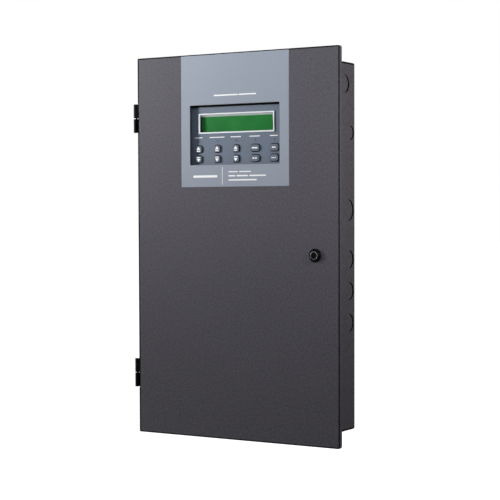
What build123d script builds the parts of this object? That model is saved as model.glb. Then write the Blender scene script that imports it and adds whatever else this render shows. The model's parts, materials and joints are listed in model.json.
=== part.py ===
"""A wall cabinet for fire alarm control, with a hinged door, a keypad display, boards and standby batteries.

Millimetres. The origin is the middle of the box's back face, on the wall. +X is to the right, +Z is up
and the door faces -Y, so every depth below is counted from the wall and used as a negative Y.
"""

import os
from math import radians, tan

from build123d import *

# ---------------------------------------------------------------- driving sizes
# sheet metal
SHEET = 1.5
BOX_WIDTH = 368.3
BOX_HEIGHT = 628.65
BOX_DEPTH = 93.5
BOX_BEND = 3.0
BOX_CORNER = 3.5
RIM_LIP = 15.0
RIM_GAP = 1.5

# door
DOOR_SIDE_OVERLAP = 19.05
DOOR_END_OVERLAP = 20.95
DOOR_FLANGE = 11.0
DOOR_BEND = 2.0
DOOR_CORNER = 2.5
DOOR_SEAM = 0.6
DOOR_SEAM_START = 3.0
BUMPER_RADIUS = 5.0
SOFT_GAP = 0.3

# hinges
HINGE_RISE = 228.6
HINGE_HEIGHT = 50.8
HINGE_SLIT = 1.6
BARREL_RADIUS = 4.5
BARREL_STANDOUT = 7.0
PIN_RADIUS = 2.4
LEAF = 1.5
PIN_FIT = 0.05
NOTCH_ROOM = 1.0
NOTCH_BITE = 2.0
FRAME_LEAF_REACH = 26.0
DOOR_LEAF_ROOM = 3.8
RIVET_HEAD_RADIUS = 4.0
RIVET_HEAD_HEIGHT = 1.2

# lock
LOCK_RIM_GAP = 0.65
LOCK_DROP = 12.7
LOCK_HEAD_RADIUS = 9.5
LOCK_HEAD = 5.0
LOCK_BARREL_RADIUS = 8.4
LOCK_BARREL = 16.0
LOCK_HOLE_FIT = 0.1
LOCK_NUT = 3.0
LOCK_NUT_FLATS = 20.0
PLUG_RADIUS = 6.0
PLUG_FIT = 0.06
PLUG_PROUD = 0.4
KEYWAY_WIDTH = 1.8
KEYWAY_HEIGHT = 8.0
KEYWAY_DEPTH = 14.0
CAM = 2.0
CAM_WIDTH = 13.0
CAM_CATCH = 11.4
CAM_STEP_ROOM = 3.6
CAM_RIM_GAP = 1.5
CAM_SCREW_RADIUS = 3.4
CAM_SCREW_HEAD = 2.2

# keypad and display, depths counted back from the door's front face
BEZEL_DEPTH = 7.5
BEZEL = 3.0
BEZEL_SIDE_MARGIN = 16.8
BEZEL_FOOT_MARGIN = 13.6
BEZEL_CORNER = 3.0
KEY_PITCH = 38.1
KEY_ROW_PITCH = 17.6
KEY_COLUMNS = 5
NARROW_COLUMNS = 3
NARROW_KEY = 11.2
WIDE_KEY = 17.8
KEY_HEIGHT = 11.6
NARROW_KEY_CORNER = 2.4
WIDE_KEY_CORNER = 4.8
KEY_PROUD = 2.5
KEY_FIT = 0.3
KEY_HOLE_GAP = 0.9
KEY_CATCH = 0.9
KEY_FLANGE = 1.2
KEY_STEM_RADIUS = 2.0
KEY_STEM = 2.0
KEY_TRAVEL = 1.2
LED_RISE = 13.7
LED_RADIUS = 1.5
LED_PROUD = 0.4
LED_FIT = 0.1
FRAME_RISE = 27.0
FRAME_WALL = 2.4
FRAME_PROUD = 1.5
FRAME_HEAD_MARGIN = 11.3
LCD_OPENING_WIDTH = 148.0
LCD_OPENING_HEIGHT = 30.0
LCD_RECESS = 5.0
LCD_MARGIN = 2.0
LCD_GLASS_HEIGHT = 29.0
LCD_GLASS = 2.0
LCD_GLASS_SINK = 0.5
LCD_CASE = 14.5
LCD_CASE_EDGE = 8.0
SHROUD = 2.0
BOSS_RADIUS = 3.5
BOSS_INSET = 8.0
BOSS_END_INSET = 6.5
SWITCH_SIDE = 6.0
SWITCH_BODY = 4.0
SWITCH_PLUNGER_RADIUS = 1.7

# window and decal
WINDOW_DROP = 88.9
WINDOW_OVERLAP = 11.7
WINDOW_GAP_ABOVE = 2.9
WINDOW_FOOT_OVERLAP = 9.4
WINDOW_CORNER = 0.8
DECAL = 0.25
DECAL_SIDE = 18.5
DECAL_FOOT = 38.4
DECAL_HOLE_ROOM = 0.4

# boards
BOARD = 1.6
MOULDED_CORNER = 1.0
MAIN_BOARD_DEPTH = 25.0
MAIN_BOARD_SIDE_ROOM = 32.0
MAIN_BOARD_HEAD_ROOM = 50.0
WIRING_ROOM = 158.0
BOARD_HOLE_INSET = 5.5
STANDOFF_FLATS = 7.0
SCREW_HEAD_RADIUS = 3.0
SCREW_HEAD = 2.2
DISPLAY_BOARD_EDGE = 2.0
POST_SHIFT = 12.0
TERMINAL_DEPTH = 16.0
TERMINAL_HEIGHT = 16.0
TERMINAL_STEP = 5.0
TERMINAL_EDGE = 2.5
TERMINAL_MIDDLE_GAP = 12.0
TERMINAL_END_ROOM = 11.5
RELAY_WIDTH = 15.0
RELAY_HEIGHT = 20.0
RELAY_DEPTH = 15.5
RELAY_COUNT = 4
RELAY_PITCH = 19.0
PART_ROW_RISE = 40.0
CAPACITOR_RADIUS = 8.0
CAPACITOR_LENGTH = 26.0
CAPACITOR_COUNT = 3
CAPACITOR_PITCH = 20.0
SINK_WIDTH = 46.0
SINK_HEIGHT = 30.0
SINK_DEPTH = 22.0
SINK_BASE = 3.0
SINK_FIN = 1.6
SINK_FINS = 6
SOUNDER_RADIUS = 11.5
SOUNDER_DEPTH = 10.0
SOUNDER_HOLE_RADIUS = 1.5

# power
BATTERY_HEIGHT = 167.0
BATTERY_SIDE_GAP = 1.2
BATTERY_BACK_GAP = 6.5
BATTERY_FRONT_GAP = 9.5
BATTERY_EDGE = 2.5
TAB_WIDTH = 6.3
TAB = 0.8
TAB_HEIGHT = 8.0
TAB_INSET = 18.0
TAB_DEPTH = 24.0
CORE_WIDTH = 76.0
CORE_HEIGHT = 64.0
CORE_DEPTH = 35.0
CORE_SIDE_ROOM = 18.0
CORE_FOOT_ROOM = 26.0
CORE_LEG = 12.0
COIL_BULGE = 12.0
COIL_EDGE = 5.0
COIL_CLEAR = 1.5
ANGLE = 1.6
ANGLE_FOOT = 15.0
MAINS_BLOCK_WIDTH = 42.0
MAINS_BLOCK_HEIGHT = 20.0
MAINS_BLOCK_DEPTH = 20.0
MAINS_BLOCK_GAP = 36.0
STUD_RADIUS = 2.5
STUD_LENGTH = 18.0
STUD_X = -56.0
STUD_RISE = 50.0
STUD_NUT_FLATS = 8.0
STUD_NUT = 4.0

# leads: each is routed over points of its own, as (x, depth, z)
LEAD_RADIUS = 1.3
LEAD_SPACING = 7.0
BOOT_WIDTH = 9.0
BOOT_DEPTH = 5.0
BOOT_HEIGHT = 14.0
BOOT_LIFT = 1.0
HEADER_WIDTH = 32.0
HEADER_HEIGHT = 8.0
HEADER_DEPTH = 8.0
HEADER_X = 20.0
HEADER_RISE = 30.0
RIBBON_WIDTH = 26.0
RIBBON = 0.9
ARC_SHARE = 0.45

# wall mounting and conduit entries
MOUNT_SPACING_X = 280.0
MOUNT_SPACING_Z = 570.0
MOUNT_HOLE_RADIUS = 3.4
KEYHOLE_Z = 297.0
KEYHOLE_RADIUS = 6.5
KEYHOLE_SLOT_RADIUS = 3.2
KEYHOLE_RISE = 11.0
SLIT = 3.0
SMALL_ENTRY = 11.1
MIDDLE_ENTRY = 14.3
LARGE_ENTRY = 17.4
ENTRY_BACK_ROOM = 7.0
# radius and height above the box's middle, and how far the centre moves forward of its usual line
SIDE_ENTRIES = [
    (MIDDLE_ENTRY, 277.0, 15.9),
    (SMALL_ENTRY, 194.8, -1.2),
    (LARGE_ENTRY, 63.1, 0.0),
    (MIDDLE_ENTRY, -20.8, 0.0),
    (MIDDLE_ENTRY, -75.2, 0.0),
    (MIDDLE_ENTRY, -129.6, 0.0),
]
# radius and place to the right of the box's middle
TOP_ENTRIES = [
    (MIDDLE_ENTRY, -130.0),
    (LARGE_ENTRY, -65.0),
    (SMALL_ENTRY, 0.0),
    (LARGE_ENTRY, 65.0),
    (MIDDLE_ENTRY, 130.0),
]

# ---------------------------------------------------------------- worked out from those
DOOR_WIDTH = BOX_WIDTH + 2 * DOOR_SIDE_OVERLAP
DOOR_HEIGHT = BOX_HEIGHT + 2 * DOOR_END_OVERLAP
FRONT = BOX_DEPTH + RIM_GAP + SHEET
DOOR_INSIDE = FRONT - SHEET
INNER_X = BOX_WIDTH / 2 - SHEET
INNER_Z = BOX_HEIGHT / 2 - SHEET
FLOOR_Z = -INNER_Z

HINGE_X = -(DOOR_WIDTH / 2 + BARREL_STANDOUT)
HINGE_Y = -(DOOR_INSIDE - BARREL_RADIUS)
KNUCKLE = (HINGE_HEIGHT - HINGE_SLIT) / 2

LOCK_X = BOX_WIDTH / 2 - RIM_LIP - LOCK_RIM_GAP - LOCK_NUT_FLATS / 2
LOCK_Z = -LOCK_DROP
RIM_REACH = LOCK_NUT_FLATS / 2 + LOCK_RIM_GAP
CAM_REACH = RIM_REACH + CAM_CATCH
CAM_STEP_START = RIM_REACH + CAM_STEP_ROOM

KEYS_SPAN = (KEY_COLUMNS - 1) * KEY_PITCH + WIDE_KEY
BEZEL_WIDTH = KEYS_SPAN + 2 * BEZEL_SIDE_MARGIN
WINDOW_TOP = DOOR_HEIGHT / 2 - WINDOW_DROP
BEZEL_TOP = WINDOW_TOP - WINDOW_GAP_ABOVE
FRAME_HEIGHT = LCD_OPENING_HEIGHT + 2 * FRAME_WALL
FRAME_WIDTH = LCD_OPENING_WIDTH + 2 * FRAME_WALL
FRAME_Z = BEZEL_TOP - FRAME_HEAD_MARGIN - FRAME_HEIGHT / 2
UPPER_KEYS_Z = FRAME_Z - FRAME_HEIGHT / 2 - FRAME_RISE
LOWER_KEYS_Z = UPPER_KEYS_Z - KEY_ROW_PITCH
LED_Z = UPPER_KEYS_Z + LED_RISE
BEZEL_FOOT = LOWER_KEYS_Z - KEY_HEIGHT / 2 - BEZEL_FOOT_MARGIN
BEZEL_Z = (BEZEL_TOP + BEZEL_FOOT) / 2
BEZEL_HEIGHT = BEZEL_TOP - BEZEL_FOOT
BEZEL_FACE = FRONT - BEZEL_DEPTH
BEZEL_BACK = BEZEL_FACE - BEZEL
LCD_FACE = BEZEL_FACE + FRAME_PROUD - LCD_RECESS
DISPLAY_BOARD_FACE = LCD_FACE - LCD_CASE
DISPLAY_BOARD_BACK = DISPLAY_BOARD_FACE - BOARD
KEY_STEM_END = BEZEL_BACK - KEY_FIT - KEY_FLANGE - KEY_STEM
KEY_COLUMN_X = [(i - (KEY_COLUMNS - 1) / 2) * KEY_PITCH for i in range(KEY_COLUMNS)]
BOSS_PLACES = [
    (sx * (BEZEL_WIDTH / 2 - BOSS_INSET), z)
    for sx in (-1, 1)
    for z in (BEZEL_TOP - BOSS_END_INSET, BEZEL_FOOT + BOSS_END_INSET)
]
POST_PLACES = [
    (sx * (BEZEL_WIDTH / 2 - BOSS_INSET), z)
    for sx in (-1, 1)
    for z in (BEZEL_TOP - BOSS_END_INSET - POST_SHIFT, BEZEL_FOOT + BOSS_END_INSET + POST_SHIFT)
]

WINDOW_WIDTH = BEZEL_WIDTH - 2 * WINDOW_OVERLAP
WINDOW_FOOT = BEZEL_FOOT + WINDOW_FOOT_OVERLAP
WINDOW_HEIGHT = WINDOW_TOP - WINDOW_FOOT
WINDOW_Z = (WINDOW_TOP + WINDOW_FOOT) / 2

BATTERY_LENGTH = (2 * INNER_X - 3 * BATTERY_SIDE_GAP) / 2
BATTERY_TOP = FLOOR_Z + BATTERY_HEIGHT
BATTERY_BACK = SHEET + BATTERY_BACK_GAP
BATTERY_FRONT = BOX_DEPTH - BATTERY_FRONT_GAP
BATTERY_X = (BATTERY_LENGTH + BATTERY_SIDE_GAP) / 2

MAIN_BOARD_BACK = MAIN_BOARD_DEPTH - BOARD
MAIN_BOARD_HALF = INNER_X - MAIN_BOARD_SIDE_ROOM
MAIN_BOARD_TOP = INNER_Z - MAIN_BOARD_HEAD_ROOM
MAIN_BOARD_FOOT = BATTERY_TOP + WIRING_ROOM
CORNER_PLACES = [
    (sx * (MAIN_BOARD_HALF - BOARD_HOLE_INSET), z)
    for sx in (-1, 1)
    for z in (MAIN_BOARD_TOP - BOARD_HOLE_INSET, MAIN_BOARD_FOOT + BOARD_HOLE_INSET)
]
TERMINAL_Z = MAIN_BOARD_FOOT + TERMINAL_EDGE + TERMINAL_HEIGHT / 2
TERMINAL_LENGTH = MAIN_BOARD_HALF - TERMINAL_END_ROOM - TERMINAL_MIDDLE_GAP / 2
PART_ROW_Z = MAIN_BOARD_FOOT + PART_ROW_RISE

CORE_X = -INNER_X + CORE_SIDE_ROOM + CORE_WIDTH / 2
CORE_Z = BATTERY_TOP + CORE_FOOT_ROOM + CORE_HEIGHT / 2
CORE_BACK = SHEET + COIL_CLEAR + COIL_BULGE
CORE_FRONT = CORE_BACK + CORE_DEPTH
MAINS_BLOCK_X = -INNER_X + CORE_SIDE_ROOM + MAINS_BLOCK_WIDTH / 2
MAINS_BLOCK_Z = CORE_Z + CORE_HEIGHT / 2 + MAINS_BLOCK_GAP
STUD_Z = BATTERY_TOP + STUD_RISE


# ---------------------------------------------------------------- shape helpers
def span(x, y, z):
    """A block between low and high values along each axis; y is a pair of depths from the wall."""
    low = (min(x), -max(y), min(z))
    high = (max(x), -min(y), max(z))
    middle = [(a + b) / 2 for a, b in zip(low, high)]
    return Pos(*middle) * Box(*[b - a for a, b in zip(low, high)])


def prism(sketch, back, front, x=0.0, z=0.0):
    """A sketch drawn in X and Z, standing between two depths from the wall."""
    solid = extrude(sketch, amount=(front - back) / 2, both=True)
    return Pos(x, -(back + front) / 2, z) * Rot(90, 0, 0) * solid


def rod(radius, back, front, x=0.0, z=0.0):
    """A round bar along Y between two depths from the wall."""
    return prism(Circle(radius), back, front, x, z)


def hex_bar(flats, back, front, x=0.0, z=0.0):
    """A hexagonal bar along Y, given across its flats, with two flats upright."""
    return prism(Rot(0, 0, 30) * RegularPolygon(flats / 2, 6, major_radius=False), back, front, x, z)


def screw_head(depth, x, z):
    """A pan head whose underside is at a depth from the wall."""
    head = rod(SCREW_HEAD_RADIUS, depth, depth + SCREW_HEAD, x, z)
    front_edge = head.edges().sort_by(Axis.Y)[0]
    return fillet(front_edge, SCREW_HEAD / 2)


def corner_radii(points):
    """The arc radius at each inner point of a route, as large as its two runs allow."""
    radii = []
    for before, corner, after in zip(points, points[1:], points[2:]):
        run_in, run_out = corner - before, after - corner
        half_turn = radians(run_in.get_angle(run_out) / 2)
        radii.append(ARC_SHARE * min(run_in.length, run_out.length) / tan(half_turn))
    return radii


def lead(*route):
    """A round wire along a route of (x, depth, z) points, with a smooth arc at each inner point."""
    points = [Vector(x, -depth, z) for x, depth, z in route]
    radii = corner_radii(points)
    print("lead bend radii, mm:", *[round(radius, 1) for radius in radii])
    path = FilletPolyline(*points, radius=radii)
    return sweep(Plane(origin=path @ 0, z_dir=path % 0) * Circle(LEAD_RADIUS), path=path)


# ---------------------------------------------------------------- box
def tray(width, height, depth, corner, bend, sheet):
    """An open tray with rounded corners and bends around its floor, which is at Y 0."""
    outer = prism(RectangleRounded(width, height, corner), 0, depth)
    outer = fillet(outer.faces().sort_by(Axis.Y)[-1].edges(), bend)
    inner = prism(RectangleRounded(width - 2 * sheet, height - 2 * sheet, corner - sheet), sheet, depth)
    inner = fillet(inner.faces().sort_by(Axis.Y)[-1].edges(), bend - sheet)
    return outer - inner


def entry_slit(radius):
    """The crescent slit around a conduit knockout, drawn flat with its open side to +X."""
    return Circle(radius) - Pos(-SLIT, 0) * Circle(radius)


def side_entry(radius, z, forward, side):
    """A slit through the left (-1) or right (1) wall, open towards the back."""
    depth = ENTRY_BACK_ROOM + radius + forward
    cutter = extrude(entry_slit(radius), amount=2 * SHEET, both=True)
    turn = Rot(0, 90, 0) * Rot(0, 0, 90)
    return Pos(side * (BOX_WIDTH / 2 - SHEET / 2), -depth, z) * turn * cutter


def end_entry(radius, x, end):
    """A slit through the top (1) or bottom (-1) wall, open towards the back."""
    depth = ENTRY_BACK_ROOM + LARGE_ENTRY
    cutter = extrude(entry_slit(radius), amount=2 * SHEET, both=True)
    return Pos(x, -depth, end * (BOX_HEIGHT / 2 - SHEET / 2)) * Rot(0, 0, 90) * cutter


def make_back_box():
    """Back, sides and turned-in rim of the cabinet, with its wall holes and conduit knockouts."""
    shell = tray(BOX_WIDTH, BOX_HEIGHT, BOX_DEPTH, BOX_CORNER, BOX_BEND, SHEET)
    rim = prism(RectangleRounded(BOX_WIDTH, BOX_HEIGHT, BOX_CORNER), BOX_DEPTH - SHEET, BOX_DEPTH)
    mouth = Rectangle(BOX_WIDTH - 2 * RIM_LIP, BOX_HEIGHT - 2 * RIM_LIP)
    box = shell + rim - prism(mouth, BOX_DEPTH - 2 * SHEET, BOX_DEPTH + SHEET)
    for sx in (-1, 1):
        for sz in (-1, 1):
            x, z = sx * MOUNT_SPACING_X / 2, sz * MOUNT_SPACING_Z / 2
            box -= rod(MOUNT_HOLE_RADIUS, -SHEET, 2 * SHEET, x, z)
    box -= rod(KEYHOLE_RADIUS, -SHEET, 2 * SHEET, 0, KEYHOLE_Z - KEYHOLE_RISE)
    slot = Rot(0, 0, 90) * SlotCenterToCenter(KEYHOLE_RISE, 2 * KEYHOLE_SLOT_RADIUS)
    box -= prism(slot, -SHEET, 2 * SHEET, 0, KEYHOLE_Z - KEYHOLE_RISE / 2)
    for radius, z, forward in SIDE_ENTRIES:
        for side in (-1, 1):
            box -= side_entry(radius, z, forward, side)
    for radius, x in TOP_ENTRIES:
        box -= end_entry(radius, x, 1)
    return box


# ---------------------------------------------------------------- hinges
def knuckle(low_z):
    """A hinge barrel's knuckle with its pin hole, standing on a height."""
    middle = Pos(HINGE_X, HINGE_Y, low_z + KNUCKLE / 2)
    return middle * (Cylinder(BARREL_RADIUS, KNUCKLE) - Cylinder(PIN_RADIUS + PIN_FIT, KNUCKLE))


def frame_leaf(middle_z):
    """The box's hinge leaf: lower knuckle, strip behind the door's edge and leg along the box's side."""
    low_z = middle_z - HINGE_HEIGHT / 2
    heights = (low_z, low_z + KNUCKLE)
    strip_depth = -HINGE_Y - BARREL_RADIUS
    leg_x = -BOX_WIDTH / 2
    strip = span((HINGE_X, leg_x), (strip_depth, strip_depth + LEAF), heights)
    leg = span((leg_x - LEAF, leg_x), (strip_depth + LEAF - FRAME_LEAF_REACH, strip_depth + LEAF), heights)
    hole = Pos(HINGE_X, HINGE_Y, middle_z) * Cylinder(PIN_RADIUS + PIN_FIT, HINGE_HEIGHT)
    return knuckle(low_z) + (strip + leg - hole)


def door_leaf(middle_z):
    """The door's hinge leaf: upper knuckle and a strip on the door's inside face."""
    low_z = middle_z + HINGE_SLIT / 2
    end = -BOX_WIDTH / 2 - DOOR_LEAF_ROOM
    strip = span((HINGE_X, end), (DOOR_INSIDE - LEAF, DOOR_INSIDE), (low_z, low_z + KNUCKLE))
    hole = Pos(HINGE_X, HINGE_Y, middle_z) * Cylinder(PIN_RADIUS + PIN_FIT, HINGE_HEIGHT)
    return knuckle(low_z) + (strip - hole)


def hinge_pin(middle_z):
    """A plain pin through both knuckles."""
    return Pos(HINGE_X, HINGE_Y, middle_z) * Cylinder(PIN_RADIUS, HINGE_HEIGHT)


def frame_rivets():
    """Rivet heads that hold the two frame leaves to the box's left side."""
    heads = []
    depth = -HINGE_Y - BARREL_RADIUS + LEAF - FRAME_LEAF_REACH / 2
    x = -BOX_WIDTH / 2 - LEAF - RIVET_HEAD_HEIGHT / 2
    for middle_z in (-HINGE_RISE, HINGE_RISE):
        low_z = middle_z - HINGE_HEIGHT / 2
        for share in (1, 3):
            z = low_z + KNUCKLE * share / 4
            heads.append(Pos(x, -depth, z) * Rot(0, 90, 0) * Cylinder(RIVET_HEAD_RADIUS, RIVET_HEAD_HEIGHT))
    return Compound(children=heads)


# ---------------------------------------------------------------- door
def make_door_panel():
    """The folded door pan, with its keypad window, lock hole and hinge notches."""
    pan = tray(DOOR_WIDTH, DOOR_HEIGHT, DOOR_FLANGE, DOOR_CORNER, DOOR_BEND, SHEET)
    pan = Pos(0, -FRONT, 0) * Rot(0, 0, 180) * pan
    flange_edge = FRONT - DOOR_FLANGE
    window = RectangleRounded(WINDOW_WIDTH, WINDOW_HEIGHT, WINDOW_CORNER)
    pan -= prism(window, DOOR_INSIDE - SHEET, FRONT + SHEET, 0, WINDOW_Z)
    pan -= rod(LOCK_BARREL_RADIUS + LOCK_HOLE_FIT, DOOR_INSIDE - SHEET, FRONT + SHEET, LOCK_X, LOCK_Z)
    for middle_z in (-HINGE_RISE, HINGE_RISE):
        reach = HINGE_HEIGHT / 2 + NOTCH_ROOM
        pan -= span(
            (-DOOR_WIDTH / 2 - SHEET, -DOOR_WIDTH / 2 + NOTCH_BITE),
            (flange_edge - SHEET, FRONT + SHEET),
            (middle_z - reach, middle_z + reach),
        )
    seam_top = DOOR_HEIGHT / 2 - SHEET
    for sx in (-1, 1):
        for sz in (-1, 1):
            pan -= span(
                (sx * (DOOR_WIDTH / 2 - 2 * SHEET), sx * (DOOR_WIDTH / 2 + SHEET)),
                (flange_edge - SHEET, FRONT - DOOR_SEAM_START),
                (sz * seam_top, sz * (seam_top - DOOR_SEAM)),
            )
    return pan


def make_decal():
    """The printed overlay around the keypad window, from the door's top bend down."""
    half = WINDOW_WIDTH / 2 + DECAL_SIDE
    heights = (WINDOW_FOOT - DECAL_FOOT, DOOR_HEIGHT / 2 - DOOR_BEND)
    sheet = span((-half, half), (FRONT, FRONT + DECAL), heights)
    hole_width = WINDOW_WIDTH + 2 * DECAL_HOLE_ROOM
    hole_height = WINDOW_HEIGHT + 2 * DECAL_HOLE_ROOM
    hole = RectangleRounded(hole_width, hole_height, WINDOW_CORNER + DECAL_HOLE_ROOM)
    return sheet - prism(hole, FRONT - SHEET, FRONT + SHEET, 0, WINDOW_Z)


def make_bumpers():
    """Rubber stops on the door's inside face, opposite the box's rim."""
    pads = []
    for sx in (-1, 1):
        for sz in (-1, 1):
            x = sx * (BOX_WIDTH / 2 - RIM_LIP / 2)
            z = sz * (BOX_HEIGHT / 2 - 2 * RIM_LIP)
            pads.append(rod(BUMPER_RADIUS, BOX_DEPTH + SOFT_GAP, DOOR_INSIDE, x, z))
    return Compound(children=pads)


# ---------------------------------------------------------------- lock
def make_lock_body():
    """The lock's fixed head and barrel, bored for the plug."""
    head = rod(LOCK_HEAD_RADIUS, FRONT, FRONT + LOCK_HEAD, LOCK_X, LOCK_Z)
    head = chamfer(head.edges().sort_by(Axis.Y)[0], LOCK_HEAD / 4)
    barrel = rod(LOCK_BARREL_RADIUS, FRONT - LOCK_BARREL, FRONT, LOCK_X, LOCK_Z)
    bore = rod(PLUG_RADIUS + PLUG_FIT, FRONT - 2 * LOCK_BARREL, FRONT + 2 * LOCK_HEAD, LOCK_X, LOCK_Z)
    return head + barrel - bore


def make_lock_nut():
    """The flat nut that clamps the lock to the door."""
    back = DOOR_INSIDE - LOCK_NUT
    nut = hex_bar(LOCK_NUT_FLATS, back, DOOR_INSIDE, LOCK_X, LOCK_Z)
    return nut - rod(LOCK_BARREL_RADIUS + LOCK_HOLE_FIT, back - LOCK_NUT, FRONT, LOCK_X, LOCK_Z)


def make_lock_plug():
    """The turning plug with its keyway."""
    face = FRONT + LOCK_HEAD + PLUG_PROUD
    plug = rod(PLUG_RADIUS, FRONT - LOCK_BARREL, face, LOCK_X, LOCK_Z)
    keyway = Rectangle(KEYWAY_WIDTH, KEYWAY_HEIGHT)
    return plug - prism(keyway, face - KEYWAY_DEPTH, face + PLUG_PROUD, LOCK_X, LOCK_Z)


def make_lock_cam():
    """The cranked cam, hanging down; a quarter turn puts its tip behind the box's rim."""
    hub_depth = (FRONT - LOCK_BARREL - CAM, FRONT - LOCK_BARREL)
    tip_front = BOX_DEPTH - SHEET - CAM_RIM_GAP
    tip_depth = (tip_front - CAM, tip_front)
    half = CAM_WIDTH / 2
    sides = (LOCK_X - half, LOCK_X + half)
    hub = rod(half, *hub_depth, LOCK_X, LOCK_Z)
    arm = span(sides, hub_depth, (LOCK_Z - CAM_STEP_START - CAM, LOCK_Z))
    crank_z = LOCK_Z - CAM_STEP_START
    crank = span(sides, (hub_depth[0], tip_depth[1]), (crank_z - CAM, crank_z))
    tip = span(sides, tip_depth, (LOCK_Z - CAM_REACH, crank_z))
    return hub + arm + crank + tip


def make_cam_screw():
    """The screw that holds the cam on the plug."""
    back = FRONT - LOCK_BARREL - CAM
    return rod(CAM_SCREW_RADIUS, back - CAM_SCREW_HEAD, back, LOCK_X, LOCK_Z)


# ---------------------------------------------------------------- keypad and display
def key_outline(column, grow=0.0):
    """The face of a key in a column, grown all round."""
    narrow = column < NARROW_COLUMNS
    width = NARROW_KEY if narrow else WIDE_KEY
    corner = NARROW_KEY_CORNER if narrow else WIDE_KEY_CORNER
    return RectangleRounded(width + 2 * grow, KEY_HEIGHT + 2 * grow, corner + grow)


def make_key(column, z):
    """A key cap with the flange that keeps it in the bezel, and the stem that meets its switch."""
    x = KEY_COLUMN_X[column]
    face = BEZEL_FACE + KEY_PROUD
    flange_front = BEZEL_BACK - KEY_FIT
    cap = prism(key_outline(column), flange_front, face, x, z)
    cap = fillet(cap.faces().sort_by(Axis.Y)[0].edges(), KEY_PROUD / 4)
    outline = key_outline(column, KEY_HOLE_GAP + KEY_CATCH)
    flange = prism(outline, flange_front - KEY_FLANGE, flange_front, x, z)
    return cap + flange + rod(KEY_STEM_RADIUS, KEY_STEM_END, flange_front, x, z)


def make_bezel():
    """The moulded keypad panel, with its key and indicator holes, display shroud and screw bosses."""
    outline = RectangleRounded(BEZEL_WIDTH, BEZEL_HEIGHT, BEZEL_CORNER)
    panel = prism(outline, BEZEL_BACK, BEZEL_FACE, 0, BEZEL_Z)
    shroud = Rectangle(LCD_OPENING_WIDTH + 2 * SHROUD, LCD_OPENING_HEIGHT + 2 * SHROUD)
    panel += prism(shroud, LCD_FACE + SOFT_GAP, BEZEL_FACE, 0, FRAME_Z)
    for x, z in BOSS_PLACES:
        panel += rod(BOSS_RADIUS, DISPLAY_BOARD_FACE, BEZEL_FACE - BEZEL / 2, x, z)
    opening = Rectangle(LCD_OPENING_WIDTH, LCD_OPENING_HEIGHT)
    panel -= prism(opening, LCD_FACE - SHROUD, BEZEL_FACE + SHROUD, 0, FRAME_Z)
    for column, x in enumerate(KEY_COLUMN_X):
        for z in (UPPER_KEYS_Z, LOWER_KEYS_Z):
            panel -= prism(key_outline(column, KEY_HOLE_GAP), BEZEL_BACK - BEZEL, BEZEL_FACE + BEZEL, x, z)
        panel -= rod(LED_RADIUS + LED_FIT, BEZEL_BACK - BEZEL, BEZEL_FACE + BEZEL, x, LED_Z)
    return panel


def make_display_frame():
    """The white rim around the display's opening, bevelled inwards."""
    frame = prism(Rectangle(FRAME_WIDTH, FRAME_HEIGHT), BEZEL_FACE, BEZEL_FACE + FRAME_PROUD, 0, FRAME_Z)
    opening = Rectangle(LCD_OPENING_WIDTH, LCD_OPENING_HEIGHT)
    frame -= prism(opening, BEZEL_BACK, BEZEL_FACE + 2 * FRAME_PROUD, 0, FRAME_Z)
    inner_front = frame.faces().sort_by(Axis.Y)[0].inner_wires()[0].edges()
    return chamfer(inner_front, FRAME_PROUD / 2)


def make_lcd_case():
    """The display module's black case, with a pocket for its glass."""
    width = LCD_OPENING_WIDTH - 2 * LCD_MARGIN
    case = span(
        (-LCD_OPENING_WIDTH / 2 - LCD_CASE_EDGE, LCD_OPENING_WIDTH / 2 + LCD_CASE_EDGE),
        (DISPLAY_BOARD_FACE, LCD_FACE),
        (FRAME_Z - LCD_OPENING_HEIGHT / 2 - LCD_CASE_EDGE, FRAME_Z + LCD_OPENING_HEIGHT / 2 + LCD_CASE_EDGE),
    )
    pocket = Rectangle(width, LCD_GLASS_HEIGHT)
    return case - prism(pocket, LCD_FACE - LCD_GLASS_SINK - LCD_GLASS, LCD_FACE + LCD_GLASS, 0, FRAME_Z)


def make_lcd_glass():
    """The green display glass in its pocket."""
    face = LCD_FACE - LCD_GLASS_SINK
    outline = Rectangle(LCD_OPENING_WIDTH - 2 * LCD_MARGIN, LCD_GLASS_HEIGHT)
    return prism(outline, face - LCD_GLASS, face, 0, FRAME_Z)


def make_display_board():
    """The circuit board behind the keypad."""
    width = BEZEL_WIDTH - 2 * DISPLAY_BOARD_EDGE
    height = BEZEL_HEIGHT - 2 * DISPLAY_BOARD_EDGE
    return prism(Rectangle(width, height), DISPLAY_BOARD_BACK, DISPLAY_BOARD_FACE, 0, BEZEL_Z)


def make_indicators():
    """Five light pipes from the display board to the bezel's face."""
    face = BEZEL_FACE + LED_PROUD
    return Compound(children=[rod(LED_RADIUS, DISPLAY_BOARD_FACE, face, x, LED_Z) for x in KEY_COLUMN_X])


def make_key_switches():
    """Ten push switches on the display board, one behind each key."""
    switches = []
    plunger_end = KEY_STEM_END - KEY_TRAVEL - KEY_FIT
    square = Rectangle(SWITCH_SIDE, SWITCH_SIDE)
    for x in KEY_COLUMN_X:
        for z in (UPPER_KEYS_Z, LOWER_KEYS_Z):
            body = prism(square, DISPLAY_BOARD_FACE, DISPLAY_BOARD_FACE + SWITCH_BODY, x, z)
            switches.append(body + rod(SWITCH_PLUNGER_RADIUS, DISPLAY_BOARD_FACE, plunger_end, x, z))
    return Compound(children=switches)


def make_bezel_screws():
    """Screws that hold the bezel's bosses, their heads behind the display board."""
    heads = []
    for x, z in BOSS_PLACES:
        heads.append(rod(SCREW_HEAD_RADIUS, DISPLAY_BOARD_BACK - SCREW_HEAD, DISPLAY_BOARD_BACK, x, z))
    return Compound(children=heads)


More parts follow.
